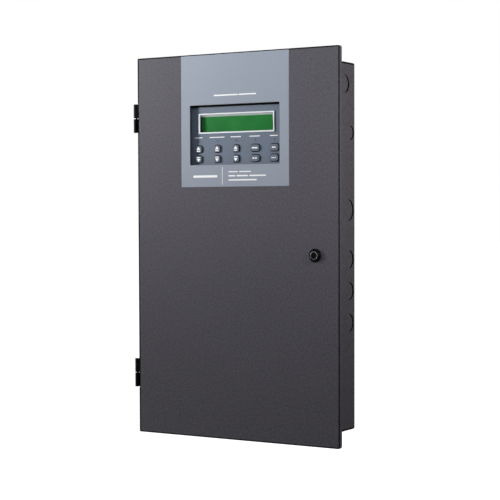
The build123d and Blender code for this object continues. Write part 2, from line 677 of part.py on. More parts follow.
# ---------------------------------------------------------------- main board
def make_main_board():
    """The main circuit board."""
    sides = (-MAIN_BOARD_HALF, MAIN_BOARD_HALF)
    return span(sides, (MAIN_BOARD_BACK, MAIN_BOARD_DEPTH), (MAIN_BOARD_FOOT, MAIN_BOARD_TOP))


def make_standoffs():
    """Hexagonal standoffs from the box's back to the main board."""
    places = CORNER_PLACES + POST_PLACES
    return Compound(children=[hex_bar(STANDOFF_FLATS, SHEET, MAIN_BOARD_BACK, x, z) for x, z in places])


def make_display_posts():
    """Hexagonal posts from the main board to the display board."""
    return Compound(
        children=[hex_bar(STANDOFF_FLATS, MAIN_BOARD_DEPTH, DISPLAY_BOARD_BACK, x, z) for x, z in POST_PLACES]
    )


def make_board_screws():
    """Screw heads on both boards."""
    heads = [screw_head(MAIN_BOARD_DEPTH, x, z) for x, z in CORNER_PLACES]
    heads += [screw_head(DISPLAY_BOARD_FACE, x, z) for x, z in POST_PLACES]
    return Compound(children=heads)


def make_terminal_strip(side):
    """A stepped screw terminal strip on the main board's lower edge, left (-1) or right (1)."""
    near = TERMINAL_MIDDLE_GAP / 2
    ends = (side * near, side * (near + TERMINAL_LENGTH))
    low, high = TERMINAL_Z - TERMINAL_HEIGHT / 2, TERMINAL_Z + TERMINAL_HEIGHT / 2
    front = MAIN_BOARD_DEPTH + TERMINAL_DEPTH
    block = span(ends, (MAIN_BOARD_DEPTH, front), (low, high))
    past_ends = (ends[0] - side * SHEET, ends[1] + side * SHEET)
    return block - span(past_ends, (front - TERMINAL_STEP, front + SHEET), (low - SHEET, low + TERMINAL_STEP))


def make_relays():
    """A row of relays above the right terminal strip."""
    first = MAIN_BOARD_HALF - TERMINAL_END_ROOM - RELAY_WIDTH / 2
    outline = RectangleRounded(RELAY_WIDTH, RELAY_HEIGHT, MOULDED_CORNER)
    front = MAIN_BOARD_DEPTH + RELAY_DEPTH
    places = [first - i * RELAY_PITCH for i in range(RELAY_COUNT)]
    return Compound(children=[prism(outline, MAIN_BOARD_DEPTH, front, x, PART_ROW_Z) for x in places])


def make_capacitors():
    """Standing electrolytic capacitors above the left terminal strip."""
    first = -MAIN_BOARD_HALF + TERMINAL_END_ROOM + CAPACITOR_RADIUS
    cans = []
    for i in range(CAPACITOR_COUNT):
        x = first + i * CAPACITOR_PITCH
        can = rod(CAPACITOR_RADIUS, MAIN_BOARD_DEPTH, MAIN_BOARD_DEPTH + CAPACITOR_LENGTH, x, PART_ROW_Z)
        cans.append(fillet(can.edges().sort_by(Axis.Y)[0], MOULDED_CORNER))
    return Compound(children=cans)


def make_heat_sink():
    """A finned aluminium heat sink between the capacitors and the relays."""
    base = Rectangle(SINK_WIDTH, SINK_HEIGHT)
    fin = Rectangle(SINK_FIN, SINK_HEIGHT)
    sink = prism(base, MAIN_BOARD_DEPTH, MAIN_BOARD_DEPTH + SINK_BASE, 0, PART_ROW_Z)
    pitch = (SINK_WIDTH - SINK_FIN) / (SINK_FINS - 1)
    for i in range(SINK_FINS):
        x = -SINK_WIDTH / 2 + SINK_FIN / 2 + i * pitch
        sink += prism(fin, MAIN_BOARD_DEPTH, MAIN_BOARD_DEPTH + SINK_DEPTH, x, PART_ROW_Z)
    return sink


def make_sounder():
    """The round sounder on the main board, beside the display."""
    x = BEZEL_WIDTH / 2 + SOUNDER_RADIUS + 2 * BOSS_RADIUS
    front = MAIN_BOARD_DEPTH + SOUNDER_DEPTH
    case = rod(SOUNDER_RADIUS, MAIN_BOARD_DEPTH, front, x, WINDOW_Z)
    return case - rod(SOUNDER_HOLE_RADIUS, front - SOUNDER_DEPTH / 2, front + SOUNDER_DEPTH, x, WINDOW_Z)


# ---------------------------------------------------------------- power
def make_battery(side):
    """A sealed battery standing on the box's floor, left (-1) or right (1)."""
    x = side * BATTERY_X
    half = BATTERY_LENGTH / 2
    block = span((x - half, x + half), (BATTERY_BACK, BATTERY_FRONT), (FLOOR_Z, BATTERY_TOP))
    return fillet(block.edges(), BATTERY_EDGE)


def tab_places():
    """The X of each battery terminal, from the left."""
    reach = BATTERY_LENGTH / 2 - TAB_INSET
    return [side * BATTERY_X + end * reach for side in (-1, 1) for end in (-1, 1)]


def make_battery_tabs():
    """Flat terminal tabs on top of the batteries."""
    depths = (BATTERY_FRONT - TAB_DEPTH, BATTERY_FRONT - TAB_DEPTH + TAB)
    heights = (BATTERY_TOP, BATTERY_TOP + TAB_HEIGHT)
    half = TAB_WIDTH / 2
    return Compound(children=[span((x - half, x + half), depths, heights) for x in tab_places()])


def make_transformer_core():
    """The laminated core, with windows for the coil on either side of its middle leg."""
    core = span(
        (CORE_X - CORE_WIDTH / 2, CORE_X + CORE_WIDTH / 2),
        (CORE_BACK, CORE_FRONT),
        (CORE_Z - CORE_HEIGHT / 2, CORE_Z + CORE_HEIGHT / 2),
    )
    window_width = (CORE_WIDTH - 4 * CORE_LEG) / 2
    for sx in (-1, 1):
        window = Rectangle(window_width, CORE_HEIGHT - 2 * CORE_LEG)
        x = CORE_X + sx * (CORE_LEG + window_width / 2)
        core -= prism(window, CORE_BACK - CORE_LEG, CORE_FRONT + CORE_LEG, x, CORE_Z)
    return core


def make_transformer_coil():
    """The taped coil around the core's middle leg, bulging at front and back."""
    window_width = (CORE_WIDTH - 4 * CORE_LEG) / 2
    width = 2 * (CORE_LEG + window_width)
    height = CORE_HEIGHT - 2 * CORE_LEG
    coil = prism(Rectangle(width, height), CORE_BACK - COIL_BULGE, CORE_FRONT + COIL_BULGE, CORE_X, CORE_Z)
    coil = fillet(coil.edges().filter_by(Axis.Z), COIL_EDGE)
    return coil - prism(Rectangle(2 * CORE_LEG, height), CORE_BACK, CORE_FRONT, CORE_X, CORE_Z)


def make_transformer_angles():
    """Steel angles above and below the core, with feet on the box's back."""
    angles = []
    for sz in (-1, 1):
        end = CORE_Z + sz * CORE_HEIGHT / 2
        sides = (CORE_X - CORE_WIDTH / 2, CORE_X + CORE_WIDTH / 2)
        wall = span(sides, (SHEET, CORE_FRONT), (end, end + sz * ANGLE))
        foot = span(sides, (SHEET, SHEET + ANGLE), (end, end + sz * ANGLE_FOOT))
        angles.append(wall + foot)
    return Compound(children=angles)


def make_transformer_screws():
    """Screw heads on the angles' feet."""
    heads = []
    for sx in (-1, 1):
        for sz in (-1, 1):
            z = CORE_Z + sz * (CORE_HEIGHT / 2 + (ANGLE + ANGLE_FOOT) / 2)
            heads.append(screw_head(SHEET + ANGLE, CORE_X + sx * (CORE_WIDTH / 2 - CORE_LEG), z))
    return Compound(children=heads)


def make_mains_block():
    """The mains terminal block, open-sided, on the box's back."""
    outline = RectangleRounded(MAINS_BLOCK_WIDTH, MAINS_BLOCK_HEIGHT, MOULDED_CORNER)
    block = prism(outline, SHEET, SHEET + MAINS_BLOCK_DEPTH, MAINS_BLOCK_X, MAINS_BLOCK_Z)
    step = MAINS_BLOCK_HEIGHT / 4
    for sz in (-1, 1):
        edge = MAINS_BLOCK_Z + sz * MAINS_BLOCK_HEIGHT / 2
        block -= span(
            (MAINS_BLOCK_X - MAINS_BLOCK_WIDTH, MAINS_BLOCK_X + MAINS_BLOCK_WIDTH),
            (SHEET + MAINS_BLOCK_DEPTH / 2, SHEET + 2 * MAINS_BLOCK_DEPTH),
            (edge - sz * step, edge + sz * step),
        )
    return block


def make_earth_stud():
    """The earth stud, welded to the box's back."""
    return rod(STUD_RADIUS, SHEET, SHEET + STUD_LENGTH, STUD_X, STUD_Z)


def make_earth_nuts():
    """Two nuts on the earth stud, with room for a ring lug between them."""
    nuts = []
    for back in (SHEET, SHEET + 2 * STUD_NUT):
        nut = hex_bar(STUD_NUT_FLATS, back, back + STUD_NUT, STUD_X, STUD_Z)
        nuts.append(nut - rod(STUD_RADIUS + PIN_FIT, 0, FRONT, STUD_X, STUD_Z))
    return Compound(children=nuts)


# ---------------------------------------------------------------- leads
def make_lead_boots():
    """The insulated push-on connectors on the battery tabs."""
    boots = []
    low = BATTERY_TOP + BOOT_LIFT
    middle = BATTERY_FRONT - TAB_DEPTH + TAB / 2
    for x in tab_places():
        boot = span(
            (x - BOOT_WIDTH / 2, x + BOOT_WIDTH / 2),
            (middle - BOOT_DEPTH / 2, middle + BOOT_DEPTH / 2),
            (low, low + BOOT_HEIGHT),
        )
        boot = fillet(boot.edges().filter_by(Axis.Z), BOOT_LIFT)
        tab_sides = (x - TAB_WIDTH / 2, x + TAB_WIDTH / 2)
        slot = span(tab_sides, (middle - TAB / 2, middle + TAB / 2), (FLOOR_Z, BATTERY_TOP + TAB_HEIGHT))
        boots.append(boot - slot)
    return Compound(children=boots)


def make_battery_leads():
    """Two leads from the outer battery tabs to the terminal strips, and the link between the batteries."""
    depth = BATTERY_FRONT - TAB_DEPTH + TAB / 2
    start = BATTERY_TOP + BOOT_LIFT + BOOT_HEIGHT
    far_left, near_left, near_right, far_right = tab_places()
    strip_foot = TERMINAL_Z - TERMINAL_HEIGHT / 2
    strip_depth = MAIN_BOARD_DEPTH + TERMINAL_DEPTH / 2
    coil_front = CORE_FRONT + COIL_BULGE
    rise = strip_foot - start
    left = lead(
        (far_left, depth, start),
        (far_left, depth, start + 12),
        (CORE_X - 26, coil_front + 8, start + 29),
        (CORE_X + 4, coil_front + 9, start + 32),
        (CORE_X + 32, coil_front + 5, start + 25),
        (-72, depth - 2, start + 0.2 * rise),
        (-55, depth - 12, start + 0.42 * rise),
        (-45, strip_depth + 8, start + 0.66 * rise),
        (-44, strip_depth, start + 0.86 * rise),
        (-44, strip_depth, strip_foot),
    )
    right = lead(
        (far_right, depth, start),
        (far_right, depth, start + 0.14 * rise),
        (0.97 * far_right, depth - 7, start + 0.36 * rise),
        (0.87 * far_right, strip_depth + 8, start + 0.62 * rise),
        (0.8 * far_right, strip_depth, start + 0.84 * rise),
        (0.8 * far_right, strip_depth, strip_foot),
    )
    link = lead(
        (near_left, depth, start),
        (near_left, depth, start + 12),
        (0.4 * near_left, depth + 3, start + 26),
        (0.4 * near_right, depth + 3, start + 26),
        (near_right, depth, start + 12),
        (near_right, depth, start),
    )
    return Compound(children=[left, right, link])


def make_power_leads():
    """The transformer's leads: two up to the left terminal strip and two to the mains block."""
    coil_front = CORE_FRONT + COIL_BULGE
    coil_z = CORE_Z + CORE_HEIGHT / 2 - CORE_LEG - 3 * LEAD_RADIUS
    strip_foot = TERMINAL_Z - TERMINAL_HEIGHT / 2
    strip_depth = MAIN_BOARD_DEPTH + TERMINAL_DEPTH / 2
    rise = strip_foot - coil_z
    block_foot = MAINS_BLOCK_Z - MAINS_BLOCK_HEIGHT / 4
    block_depth = SHEET + 0.75 * MAINS_BLOCK_DEPTH
    leads = []
    for i in (0, 1):
        x = CORE_X + 8 + i * LEAD_SPACING
        leads.append(
            lead(
                (x, coil_front, coil_z),
                (x, coil_front + 10, coil_z),
                (x + 1, coil_front + 16, coil_z + 8),
                (x + 4, coil_front + 13, coil_z + 0.26 * rise),
                (x + 11, coil_front - 6, coil_z + 0.42 * rise),
                (x + 16, strip_depth + 6, coil_z + 0.66 * rise),
                (x + 17, strip_depth, coil_z + 0.86 * rise),
                (x + 17, strip_depth, strip_foot),
            )
        )
        x = CORE_X - 18 + i * LEAD_SPACING
        leads.append(
            lead(
                (x, coil_front, coil_z),
                (x, coil_front + 10, coil_z),
                (x, coil_front + 15, coil_z + 9),
                (x, coil_front + 6, coil_z + 22),
                (x - 1, coil_front - 10, coil_z + 29),
                (x - 1, CORE_FRONT - 18, coil_z + 29),
                (x, block_depth, block_foot - 14),
                (x, block_depth, block_foot),
            )
        )
    return Compound(children=leads)


def header_heights():
    """Heights of the ribbon's headers on the main board and on the display board."""
    return BEZEL_FOOT + HEADER_RISE, BEZEL_FOOT + 2 * HEADER_RISE


def make_ribbon_headers():
    """The ribbon cable's headers, on the main board's front and the display board's back."""
    low_z, high_z = header_heights()
    block = Rectangle(HEADER_WIDTH, HEADER_HEIGHT)
    on_main = prism(block, MAIN_BOARD_DEPTH, MAIN_BOARD_DEPTH + HEADER_DEPTH, HEADER_X, low_z)
    on_display = prism(block, DISPLAY_BOARD_BACK - HEADER_DEPTH, DISPLAY_BOARD_BACK, HEADER_X, high_z)
    return Compound(children=[on_main, on_display])


def make_ribbon_cable():
    """The flat cable between the two headers."""
    low_z, high_z = header_heights()
    back, front = MAIN_BOARD_DEPTH + HEADER_DEPTH, DISPLAY_BOARD_BACK - HEADER_DEPTH
    middle = (back + front) / 2
    route = [(back, low_z), (middle - 1, low_z), (middle + 1, high_z), (front, high_z)]
    points = [Vector(HEADER_X, -depth, z) for depth, z in route]
    path = FilletPolyline(*points, radius=corner_radii(points))
    start = Plane(origin=path @ 0, x_dir=(1, 0, 0), z_dir=path % 0)
    return sweep(start * Rectangle(RIBBON_WIDTH, RIBBON), path=path)


# ---------------------------------------------------------------- assembly
def make_nodes():
    """Every node's shape, by name."""
    nodes = {
        "back_box": make_back_box(),
        "upper_hinge_frame_leaf": frame_leaf(HINGE_RISE),
        "lower_hinge_frame_leaf": frame_leaf(-HINGE_RISE),
        "upper_hinge_pin": hinge_pin(HINGE_RISE),
        "lower_hinge_pin": hinge_pin(-HINGE_RISE),
        "hinge_rivets": frame_rivets(),
        "upper_hinge_door_leaf": door_leaf(HINGE_RISE),
        "lower_hinge_door_leaf": door_leaf(-HINGE_RISE),
        "door_panel": make_door_panel(),
        "door_decal": make_decal(),
        "door_bumpers": make_bumpers(),
        "lock_body": make_lock_body(),
        "lock_nut": make_lock_nut(),
        "lock_plug": make_lock_plug(),
        "lock_cam": make_lock_cam(),
        "lock_cam_screw": make_cam_screw(),
        "keypad_bezel": make_bezel(),
        "display_frame": make_display_frame(),
        "display_case": make_lcd_case(),
        "display_glass": make_lcd_glass(),
        "display_board": make_display_board(),
        "indicator_lights": make_indicators(),
        "key_switches": make_key_switches(),
        "bezel_screws": make_bezel_screws(),
        "main_board": make_main_board(),
        "board_standoffs": make_standoffs(),
        "display_posts": make_display_posts(),
        "board_screws": make_board_screws(),
        "left_terminal_strip": make_terminal_strip(-1),
        "right_terminal_strip": make_terminal_strip(1),
        "board_relays": make_relays(),
        "board_capacitors": make_capacitors(),
        "board_heat_sink": make_heat_sink(),
        "board_sounder": make_sounder(),
        "left_battery": make_battery(-1),
        "right_battery": make_battery(1),
        "battery_tabs": make_battery_tabs(),
        "transformer_core": make_transformer_core(),
        "transformer_coil": make_transformer_coil(),
        "transformer_angles": make_transformer_angles(),
        "transformer_screws": make_transformer_screws(),
        "mains_terminal_block": make_mains_block(),
        "earth_stud": make_earth_stud(),
        "earth_nuts": make_earth_nuts(),
        "lead_boots": make_lead_boots(),
        "battery_leads": make_battery_leads(),
        "power_leads": make_power_leads(),
        "ribbon_headers": make_ribbon_headers(),
        "ribbon_cable": make_ribbon_cable(),
    }
    for row, z in (("upper", UPPER_KEYS_Z), ("lower", LOWER_KEYS_Z)):
        for column in range(KEY_COLUMNS):
            nodes[f"{row}_key_{column + 1}"] = make_key(column, z)
    return nodes


os.makedirs("parts", exist_ok=True)
for name, shape in make_nodes().items():
    export_step(shape, f"parts/{name}.step")
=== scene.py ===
"""Looks of a wall cabinet for fire alarm control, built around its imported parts.

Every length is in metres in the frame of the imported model: the origin is on the wall behind the middle of
the box, +X is to the right, +Z is up and the door faces -Y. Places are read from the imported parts.
"""

from __future__ import annotations

import json
import logging
import math
import random
from contextlib import contextmanager
from dataclasses import dataclass, field
from enum import Enum
from typing import Iterable, Iterator, Sequence

import bmesh
import bpy
from mathutils import Matrix, Vector

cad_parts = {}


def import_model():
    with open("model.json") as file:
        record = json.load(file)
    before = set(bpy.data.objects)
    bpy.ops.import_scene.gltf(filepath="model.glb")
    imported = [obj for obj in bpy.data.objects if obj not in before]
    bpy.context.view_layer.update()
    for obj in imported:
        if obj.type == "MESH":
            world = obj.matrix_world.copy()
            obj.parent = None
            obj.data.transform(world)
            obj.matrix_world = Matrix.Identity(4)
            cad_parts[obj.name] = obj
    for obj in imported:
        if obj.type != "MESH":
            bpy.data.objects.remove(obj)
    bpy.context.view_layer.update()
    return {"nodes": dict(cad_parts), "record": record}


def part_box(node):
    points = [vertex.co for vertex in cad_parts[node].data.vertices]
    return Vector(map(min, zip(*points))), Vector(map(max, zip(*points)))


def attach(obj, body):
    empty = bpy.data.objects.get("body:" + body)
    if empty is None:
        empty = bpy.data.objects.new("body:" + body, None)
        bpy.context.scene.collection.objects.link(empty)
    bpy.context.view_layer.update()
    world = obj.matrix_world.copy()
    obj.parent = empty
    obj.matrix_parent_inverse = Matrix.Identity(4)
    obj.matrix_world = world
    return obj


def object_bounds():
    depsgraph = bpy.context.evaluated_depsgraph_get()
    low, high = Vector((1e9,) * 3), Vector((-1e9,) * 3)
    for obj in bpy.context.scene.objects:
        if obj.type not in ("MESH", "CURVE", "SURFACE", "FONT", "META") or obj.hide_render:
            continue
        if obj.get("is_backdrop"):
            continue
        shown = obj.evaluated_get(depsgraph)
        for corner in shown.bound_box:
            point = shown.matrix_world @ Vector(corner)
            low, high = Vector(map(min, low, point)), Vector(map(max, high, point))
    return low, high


LOG = logging.getLogger("alarm_cabinet")
MM = 0.001
NOWHERE = 9.0
EDGE_SOFTNESS = 0.35 * MM
# Near black of the painted shade along folded sheet edges and in the hinges' fold.
BEND_SHADE_BLACK = (0.002, 0.002, 0.002)
VIA_TIN = (0.42, 0.38, 0.26)
Colour = tuple[float, float, float]
Point2 = tuple[float, float]
Work = bmesh.types.BMesh
Socket = bpy.types.NodeSocket


class Body(str, Enum):
    """The moving bodies that hand-made pieces ride on; each key is a body of its own name."""

    CABINET = "cabinet"
    DOOR = "door"


# ---------------------------------------------------------------------------- shader graphs
class Graph:
    """A small writer of the shader nodes of one material."""

    def __init__(self, name: str) -> None:
        """Starts an empty node tree.

        Args:
            name: The material's name.
        """
        self.material = bpy.data.materials.new(name)
        self.material.use_nodes = True
        self.tree = self.material.node_tree
        self.tree.nodes.clear()
        self.place = self.add("ShaderNodeTexCoord").outputs["Object"]

    def add(self, kind: str, **settings: object) -> bpy.types.Node:
        """Adds a node.

        Args:
            kind: The node's class name.
            settings: Properties to set on it.

        Returns:
            The new node.
        """
        node = self.tree.nodes.new(kind)
        for key, value in settings.items():
            setattr(node, key, value)
        return node

    def put(self, socket: Socket, value: object) -> None:
        """Feeds a socket from another socket, or sets its constant.

        Args:
            socket: The input socket.
            value: An output socket, a number or a tuple.
        """
        if isinstance(value, Socket):
            self.tree.links.new(value, socket)
        else:
            socket.default_value = value

    def scaled(self, x: float, y: float, z: float) -> Socket:
        """Object coordinates stretched along each axis, for brushed or banded patterns.

        Args:
            x: Factor along X.
            y: Factor along Y.
            z: Factor along Z.

        Returns:
            The stretched coordinates' socket.
        """
        node = self.add("ShaderNodeMapping")
        self.put(node.inputs["Vector"], self.place)
        node.inputs["Scale"].default_value = (x, y, z)
        return node.outputs["Vector"]

    def noise(
        self, scale: float, detail: float = 2.0, rough: float = 0.5, place: Socket | None = None
    ) -> Socket:
        """A noise value in object space.

        Args:
            scale: Cells per metre.
            detail: Octaves of finer noise.
            rough: Weight of the finer octaves.
            place: Coordinates other than the plain object ones.

        Returns:
            The noise's value socket, about 0.3 to 0.7.
        """
        node = self.add("ShaderNodeTexNoise")
        self.put(node.inputs["Vector"], place or self.place)
        node.inputs["Scale"].default_value = scale
        node.inputs["Detail"].default_value = detail
        node.inputs["Roughness"].default_value = rough
        return node.outputs["Fac"]

    def cells(self, scale: float) -> Socket:
        """The distance value of a cell pattern with so many cells per metre.

        Args:
            scale: Cells per metre.

        Returns:
            The distance's socket.
        """
        node = self.add("ShaderNodeTexVoronoi")
        self.put(node.inputs["Vector"], self.place)
        node.inputs["Scale"].default_value = scale
        return node.outputs["Distance"]

    def spread(
        self, value: Socket, low: float, high: float, to_low: float = 0.0, to_high: float = 1.0
    ) -> Socket:
        """Maps a value's range onto another, clamped.

        Args:
            value: The socket to map.
            low: Value that becomes to_low.
            high: Value that becomes to_high.
            to_low: Lower result.
            to_high: Upper result.

        Returns:
            The mapped value's socket.
        """
        node = self.add("ShaderNodeMapRange")
        self.put(node.inputs["Value"], value)
        for key, number in (("From Min", low), ("From Max", high), ("To Min", to_low), ("To Max", to_high)):
            node.inputs[key].default_value = number
        return node.outputs["Result"]

    def maths(self, operation: str, a: object, b: object = 0.0, c: object = 0.0) -> Socket:
        """The result of a maths node on up to three values.

        Args:
            operation: The node's operation.
            a: First value, a socket or a number.
            b: Second value.
            c: Third value.

        Returns:
            The result's socket.
        """
        node = self.add("ShaderNodeMath", operation=operation)
        for socket, value in zip(node.inputs, (a, b, c)):
            self.put(socket, value)
        return node.outputs["Value"]

    def axes(self) -> tuple[Socket, ...]:
        """The X, Y and Z values of the object coordinates.

        Returns:
            The sockets of the three values.
        """
        node = self.add("ShaderNodeSeparateXYZ")
        self.put(node.inputs["Vector"], self.place)
        return tuple(node.outputs)

    def blend(self, share: object, first: object, second: object) -> Socket:
        """Mixes two colours.

        Args:
            share: 0 for the first colour, 1 for the second.
            first: A colour or a socket.
            second: A colour or a socket.

        Returns:
            The mixed colour's socket.
        """
        node = self.add("ShaderNodeMix", data_type="RGBA")
        self.put(node.inputs[0], share)
        for index, colour in ((6, first), (7, second)):
            self.put(node.inputs[index], colour if isinstance(colour, Socket) else (*colour, 1.0))
        return node.outputs[2]

    def bump(self, height: Socket, depth: float) -> Socket:
        """A normal bent by a height pattern, over softened edges.

        Args:
            height: The pattern's value.
            depth: The height in metres that a full value stands for.

        Returns:
            The bent normal's socket.
        """
        node = self.add("ShaderNodeBump")
        node.inputs["Strength"].default_value = 1.0
        node.inputs["Distance"].default_value = depth
        self.put(node.inputs["Height"], height)
        self.put(node.inputs["Normal"], self.soft_edges(EDGE_SOFTNESS))
        return node.outputs["Normal"]

    def soft_edges(self, radius: float) -> Socket:
        """A normal that rounds sharp edges over a radius.

        Args:
            radius: Radius of the rounding.

        Returns:
            The rounded normal's socket.
        """
        node = self.add("ShaderNodeBevel", samples=4)
        node.inputs["Radius"].default_value = radius
        return node.outputs["Normal"]

    def finish(self, **inputs: object) -> bpy.types.Material:
        """Ends the graph in a principled shader.

        Args:
            inputs: Values or sockets by the shader's input name, with _ for a space.

        Returns:
            The finished material.
        """
        shader = self.add("ShaderNodeBsdfPrincipled")
        for key, value in inputs.items():
            socket = shader.inputs[key.replace("_", " ")]
            if isinstance(value, tuple) and len(value) == 3:
                value = (*value, 1.0)
            self.put(socket, value)
        output = self.add("ShaderNodeOutputMaterial")
        self.put(output.inputs["Surface"], shader.outputs["BSDF"])
        return self.material


def shade(colour: Colour, factor: float) -> Colour:
    """A colour made lighter or darker by a factor."""
    return tuple(min(1.0, channel * factor) for channel in colour)


@dataclass(frozen=True)
class Finish:
    """A surface finish, made into one material when it is first used."""

    name: str
    slot: str
    colour: Colour
    roughness: float = 0.5

    def material(self) -> bpy.types.Material:
        """The finish's material, shared by everything that wears it."""
        name = f"{self.name}_finish"
        return bpy.data.materials.get(name) or self.build(Graph(name))

    def build(self, graph: Graph) -> bpy.types.Material:
        """Writes the finish into an empty graph and returns its material."""
        raise NotImplementedError


@dataclass(frozen=True)
class PowderCoat(Finish):
    """A fine wrinkled powder coat with a slight speckle, and painted shade in a near black line along its
    folds.

    The bend is the folded sheet's half width, the Y of its front and its half height. The widths say how
    far the line reaches in from the left, the right and both ends, the reach how far back from the front,
    and the lid how far from the ends it stops.
    """

    wrinkle: float = 0.32 * MM
    speckle: float = 0.38
    gloss: float = 0.22
    bend: tuple[float, float, float] = (NOWHERE, 0.0, NOWHERE)
    bend_shade_widths: tuple[float, float, float] = (3.7 * MM, 0.9 * MM, 2.6 * MM)
    bend_shade_reach: float = 3.1 * MM
    bend_shade_lid: float = -1.0 * MM

    def bend_shade_mask(self, graph: Graph) -> Socket:
        """A mask of the folded front edges, where the coat is painted near black as shade.

        Args:
            graph: The graph to write in.

        Returns:
            A socket that is 1 on the bends and 0 elsewhere.
        """
        x, y, z = graph.axes()
        half_width, front, half_height = self.bend
        fade = 0.3 * MM
        left, right, ends = self.bend_shade_widths
        at_end = half_height - ends
        before = graph.spread(x, left - half_width - fade, left - half_width + fade, 1.0, 0.0)
        past = graph.spread(x, half_width - right - fade, half_width - right + fade)
        beside = graph.maths("MAXIMUM", before, past)
        height = graph.maths("ABSOLUTE", z)
        lid = half_height - self.bend_shade_lid
        above = graph.spread(height, at_end - fade, at_end + fade)
        above = graph.maths("MULTIPLY", above, graph.spread(height, lid - fade, lid + fade, 1.0, 0.0))
        near = graph.spread(y, front + self.bend_shade_reach - fade, front + self.bend_shade_reach + fade, 1.0, 0.0)
        return graph.maths("MULTIPLY", graph.maths("MAXIMUM", beside, above), near)

    def build(self, graph: Graph) -> bpy.types.Material:
        """Writes the coat: speckled colour, painted shade on the bends, uneven gloss and a wrinkled height.

        Args:
            graph: The empty graph to write in.

        Returns:
            The finished material.
        """
        coarse = graph.noise(300.0, 3.0, 0.65)
        fine = graph.noise(1100.0, 2.0, 0.5)
        cloud = graph.noise(9.0, 2.0, 0.4)
        grain = graph.maths("ADD", graph.maths("MULTIPLY", coarse, 0.6), graph.maths("MULTIPLY", fine, 0.4))
        dark, light = shade(self.colour, 1 - self.speckle), shade(self.colour, 1 + self.speckle)
        colour = graph.blend(graph.spread(grain, 0.36, 0.64), dark, light)
        colour = graph.blend(graph.spread(cloud, 0.35, 0.65, 0.0, 0.06), colour, shade(self.colour, 1.5))
        # Painted shade: the folds are blended to near black.
        bend = self.bend_shade_mask(graph)
        colour = graph.blend(bend, colour, BEND_SHADE_BLACK)
        roughness = graph.spread(coarse, 0.35, 0.65, self.roughness - 0.07, self.roughness + 0.07)
        roughness = graph.maths("MAXIMUM", roughness, bend)
        return graph.finish(
            Base_Color=colour,
            Roughness=roughness,
            Specular_IOR_Level=self.gloss,
            Normal=graph.bump(grain, self.wrinkle),
        )


@dataclass(frozen=True)
class HingeCoat(PowderCoat):
    """The coat of a hinge, near black, with painted shade darker still on the side of the barrel in the fold
    by the door.
    """

    fold: float = -209.8 * MM

    def bend_shade_mask(self, graph: Graph) -> Socket:
        """A mask of the side of the barrel that lies in the fold, where painted shade goes.

        Args:
            graph: The graph to write in.

        Returns:
            A socket that is 1 in the fold and 0 on the outer side.
        """
        fade = 0.5 * MM
        return graph.spread(graph.axes()[0], self.fold - fade, self.fold + fade)


@dataclass(frozen=True)
class Moulded(Finish):
    """Moulded plastic or rubber with a fine spark-eroded grain."""

    grain: float = 0.05 * MM
    grain_scale: float = 1800.0
    tint: float = 0.05
    gloss: float = 0.5

    def build(self, graph: Graph) -> bpy.types.Material:
        """Writes the plastic: slight tint change, uneven gloss and a fine grain.

        Args:
            graph: The empty graph to write in.

        Returns:
            The finished material.
        """
        fine = graph.noise(self.grain_scale, 2.0, 0.5)
        flow = graph.noise(28.0, 3.0, 0.5)
        colour = graph.blend(
            graph.spread(flow, 0.3, 0.7), shade(self.colour, 1 - self.tint), shade(self.colour, 1 + self.tint)
        )
        roughness = graph.spread(flow, 0.3, 0.7, self.roughness - 0.04, self.roughness + 0.04)
        return graph.finish(
            Base_Color=colour,
            Roughness=roughness,
            Specular_IOR_Level=self.gloss,
            Normal=graph.bump(fine, self.grain),
        )


@dataclass(frozen=True)
class BareMetal(Finish):
    """Bare or plated metal, brushed along one axis."""

    along: tuple[float, float, float] = (1.0, 1.0, 1.0)
    scratch: float = 0.02 * MM

    def build(self, graph: Graph) -> bpy.types.Material:
        """Writes the metal: fine scratches, patchy gloss and a faint tarnish.

        Args:
            graph: The empty graph to write in.

        Returns:
            The finished material.
        """
        lines = graph.noise(1600.0, 3.0, 0.6, graph.scaled(*self.along))
        patch = graph.noise(120.0, 3.0, 0.6)
        colour = graph.blend(graph.spread(patch, 0.4, 0.7), self.colour, shade(self.colour, 0.78))
        roughness = graph.spread(lines, 0.3, 0.7, self.roughness - 0.06, self.roughness + 0.1)
        return graph.finish(
            Base_Color=colour, Metallic=1.0, Roughness=roughness, Normal=graph.bump(lines, self.scratch)
        )


@dataclass(frozen=True)
class PrintedFilm(Finish):
    """A printed plastic overlay with a velvet surface."""

    def build(self, graph: Graph) -> bpy.types.Material:
        """Writes the film: a faint print grain under a velvet texture.

        Args:
            graph: The empty graph to write in.

        Returns:
            The finished material.
        """
        dots = graph.cells(1400.0)
        flow = graph.noise(14.0, 2.0, 0.5)
        colour = graph.blend(graph.spread(dots, 0.2, 0.8), shade(self.colour, 1.02), shade(self.colour, 0.98))
        colour = graph.blend(graph.spread(flow, 0.35, 0.65, 0.0, 0.25), colour, shade(self.colour, 0.95))
        velvet = graph.noise(2600.0, 1.0, 0.5)
        return graph.finish(
            Base_Color=colour,
            Roughness=graph.spread(velvet, 0.3, 0.7, self.roughness - 0.04, self.roughness + 0.04),
            Specular_IOR_Level=0.25,
            Normal=graph.bump(velvet, 0.012 * MM),
        )


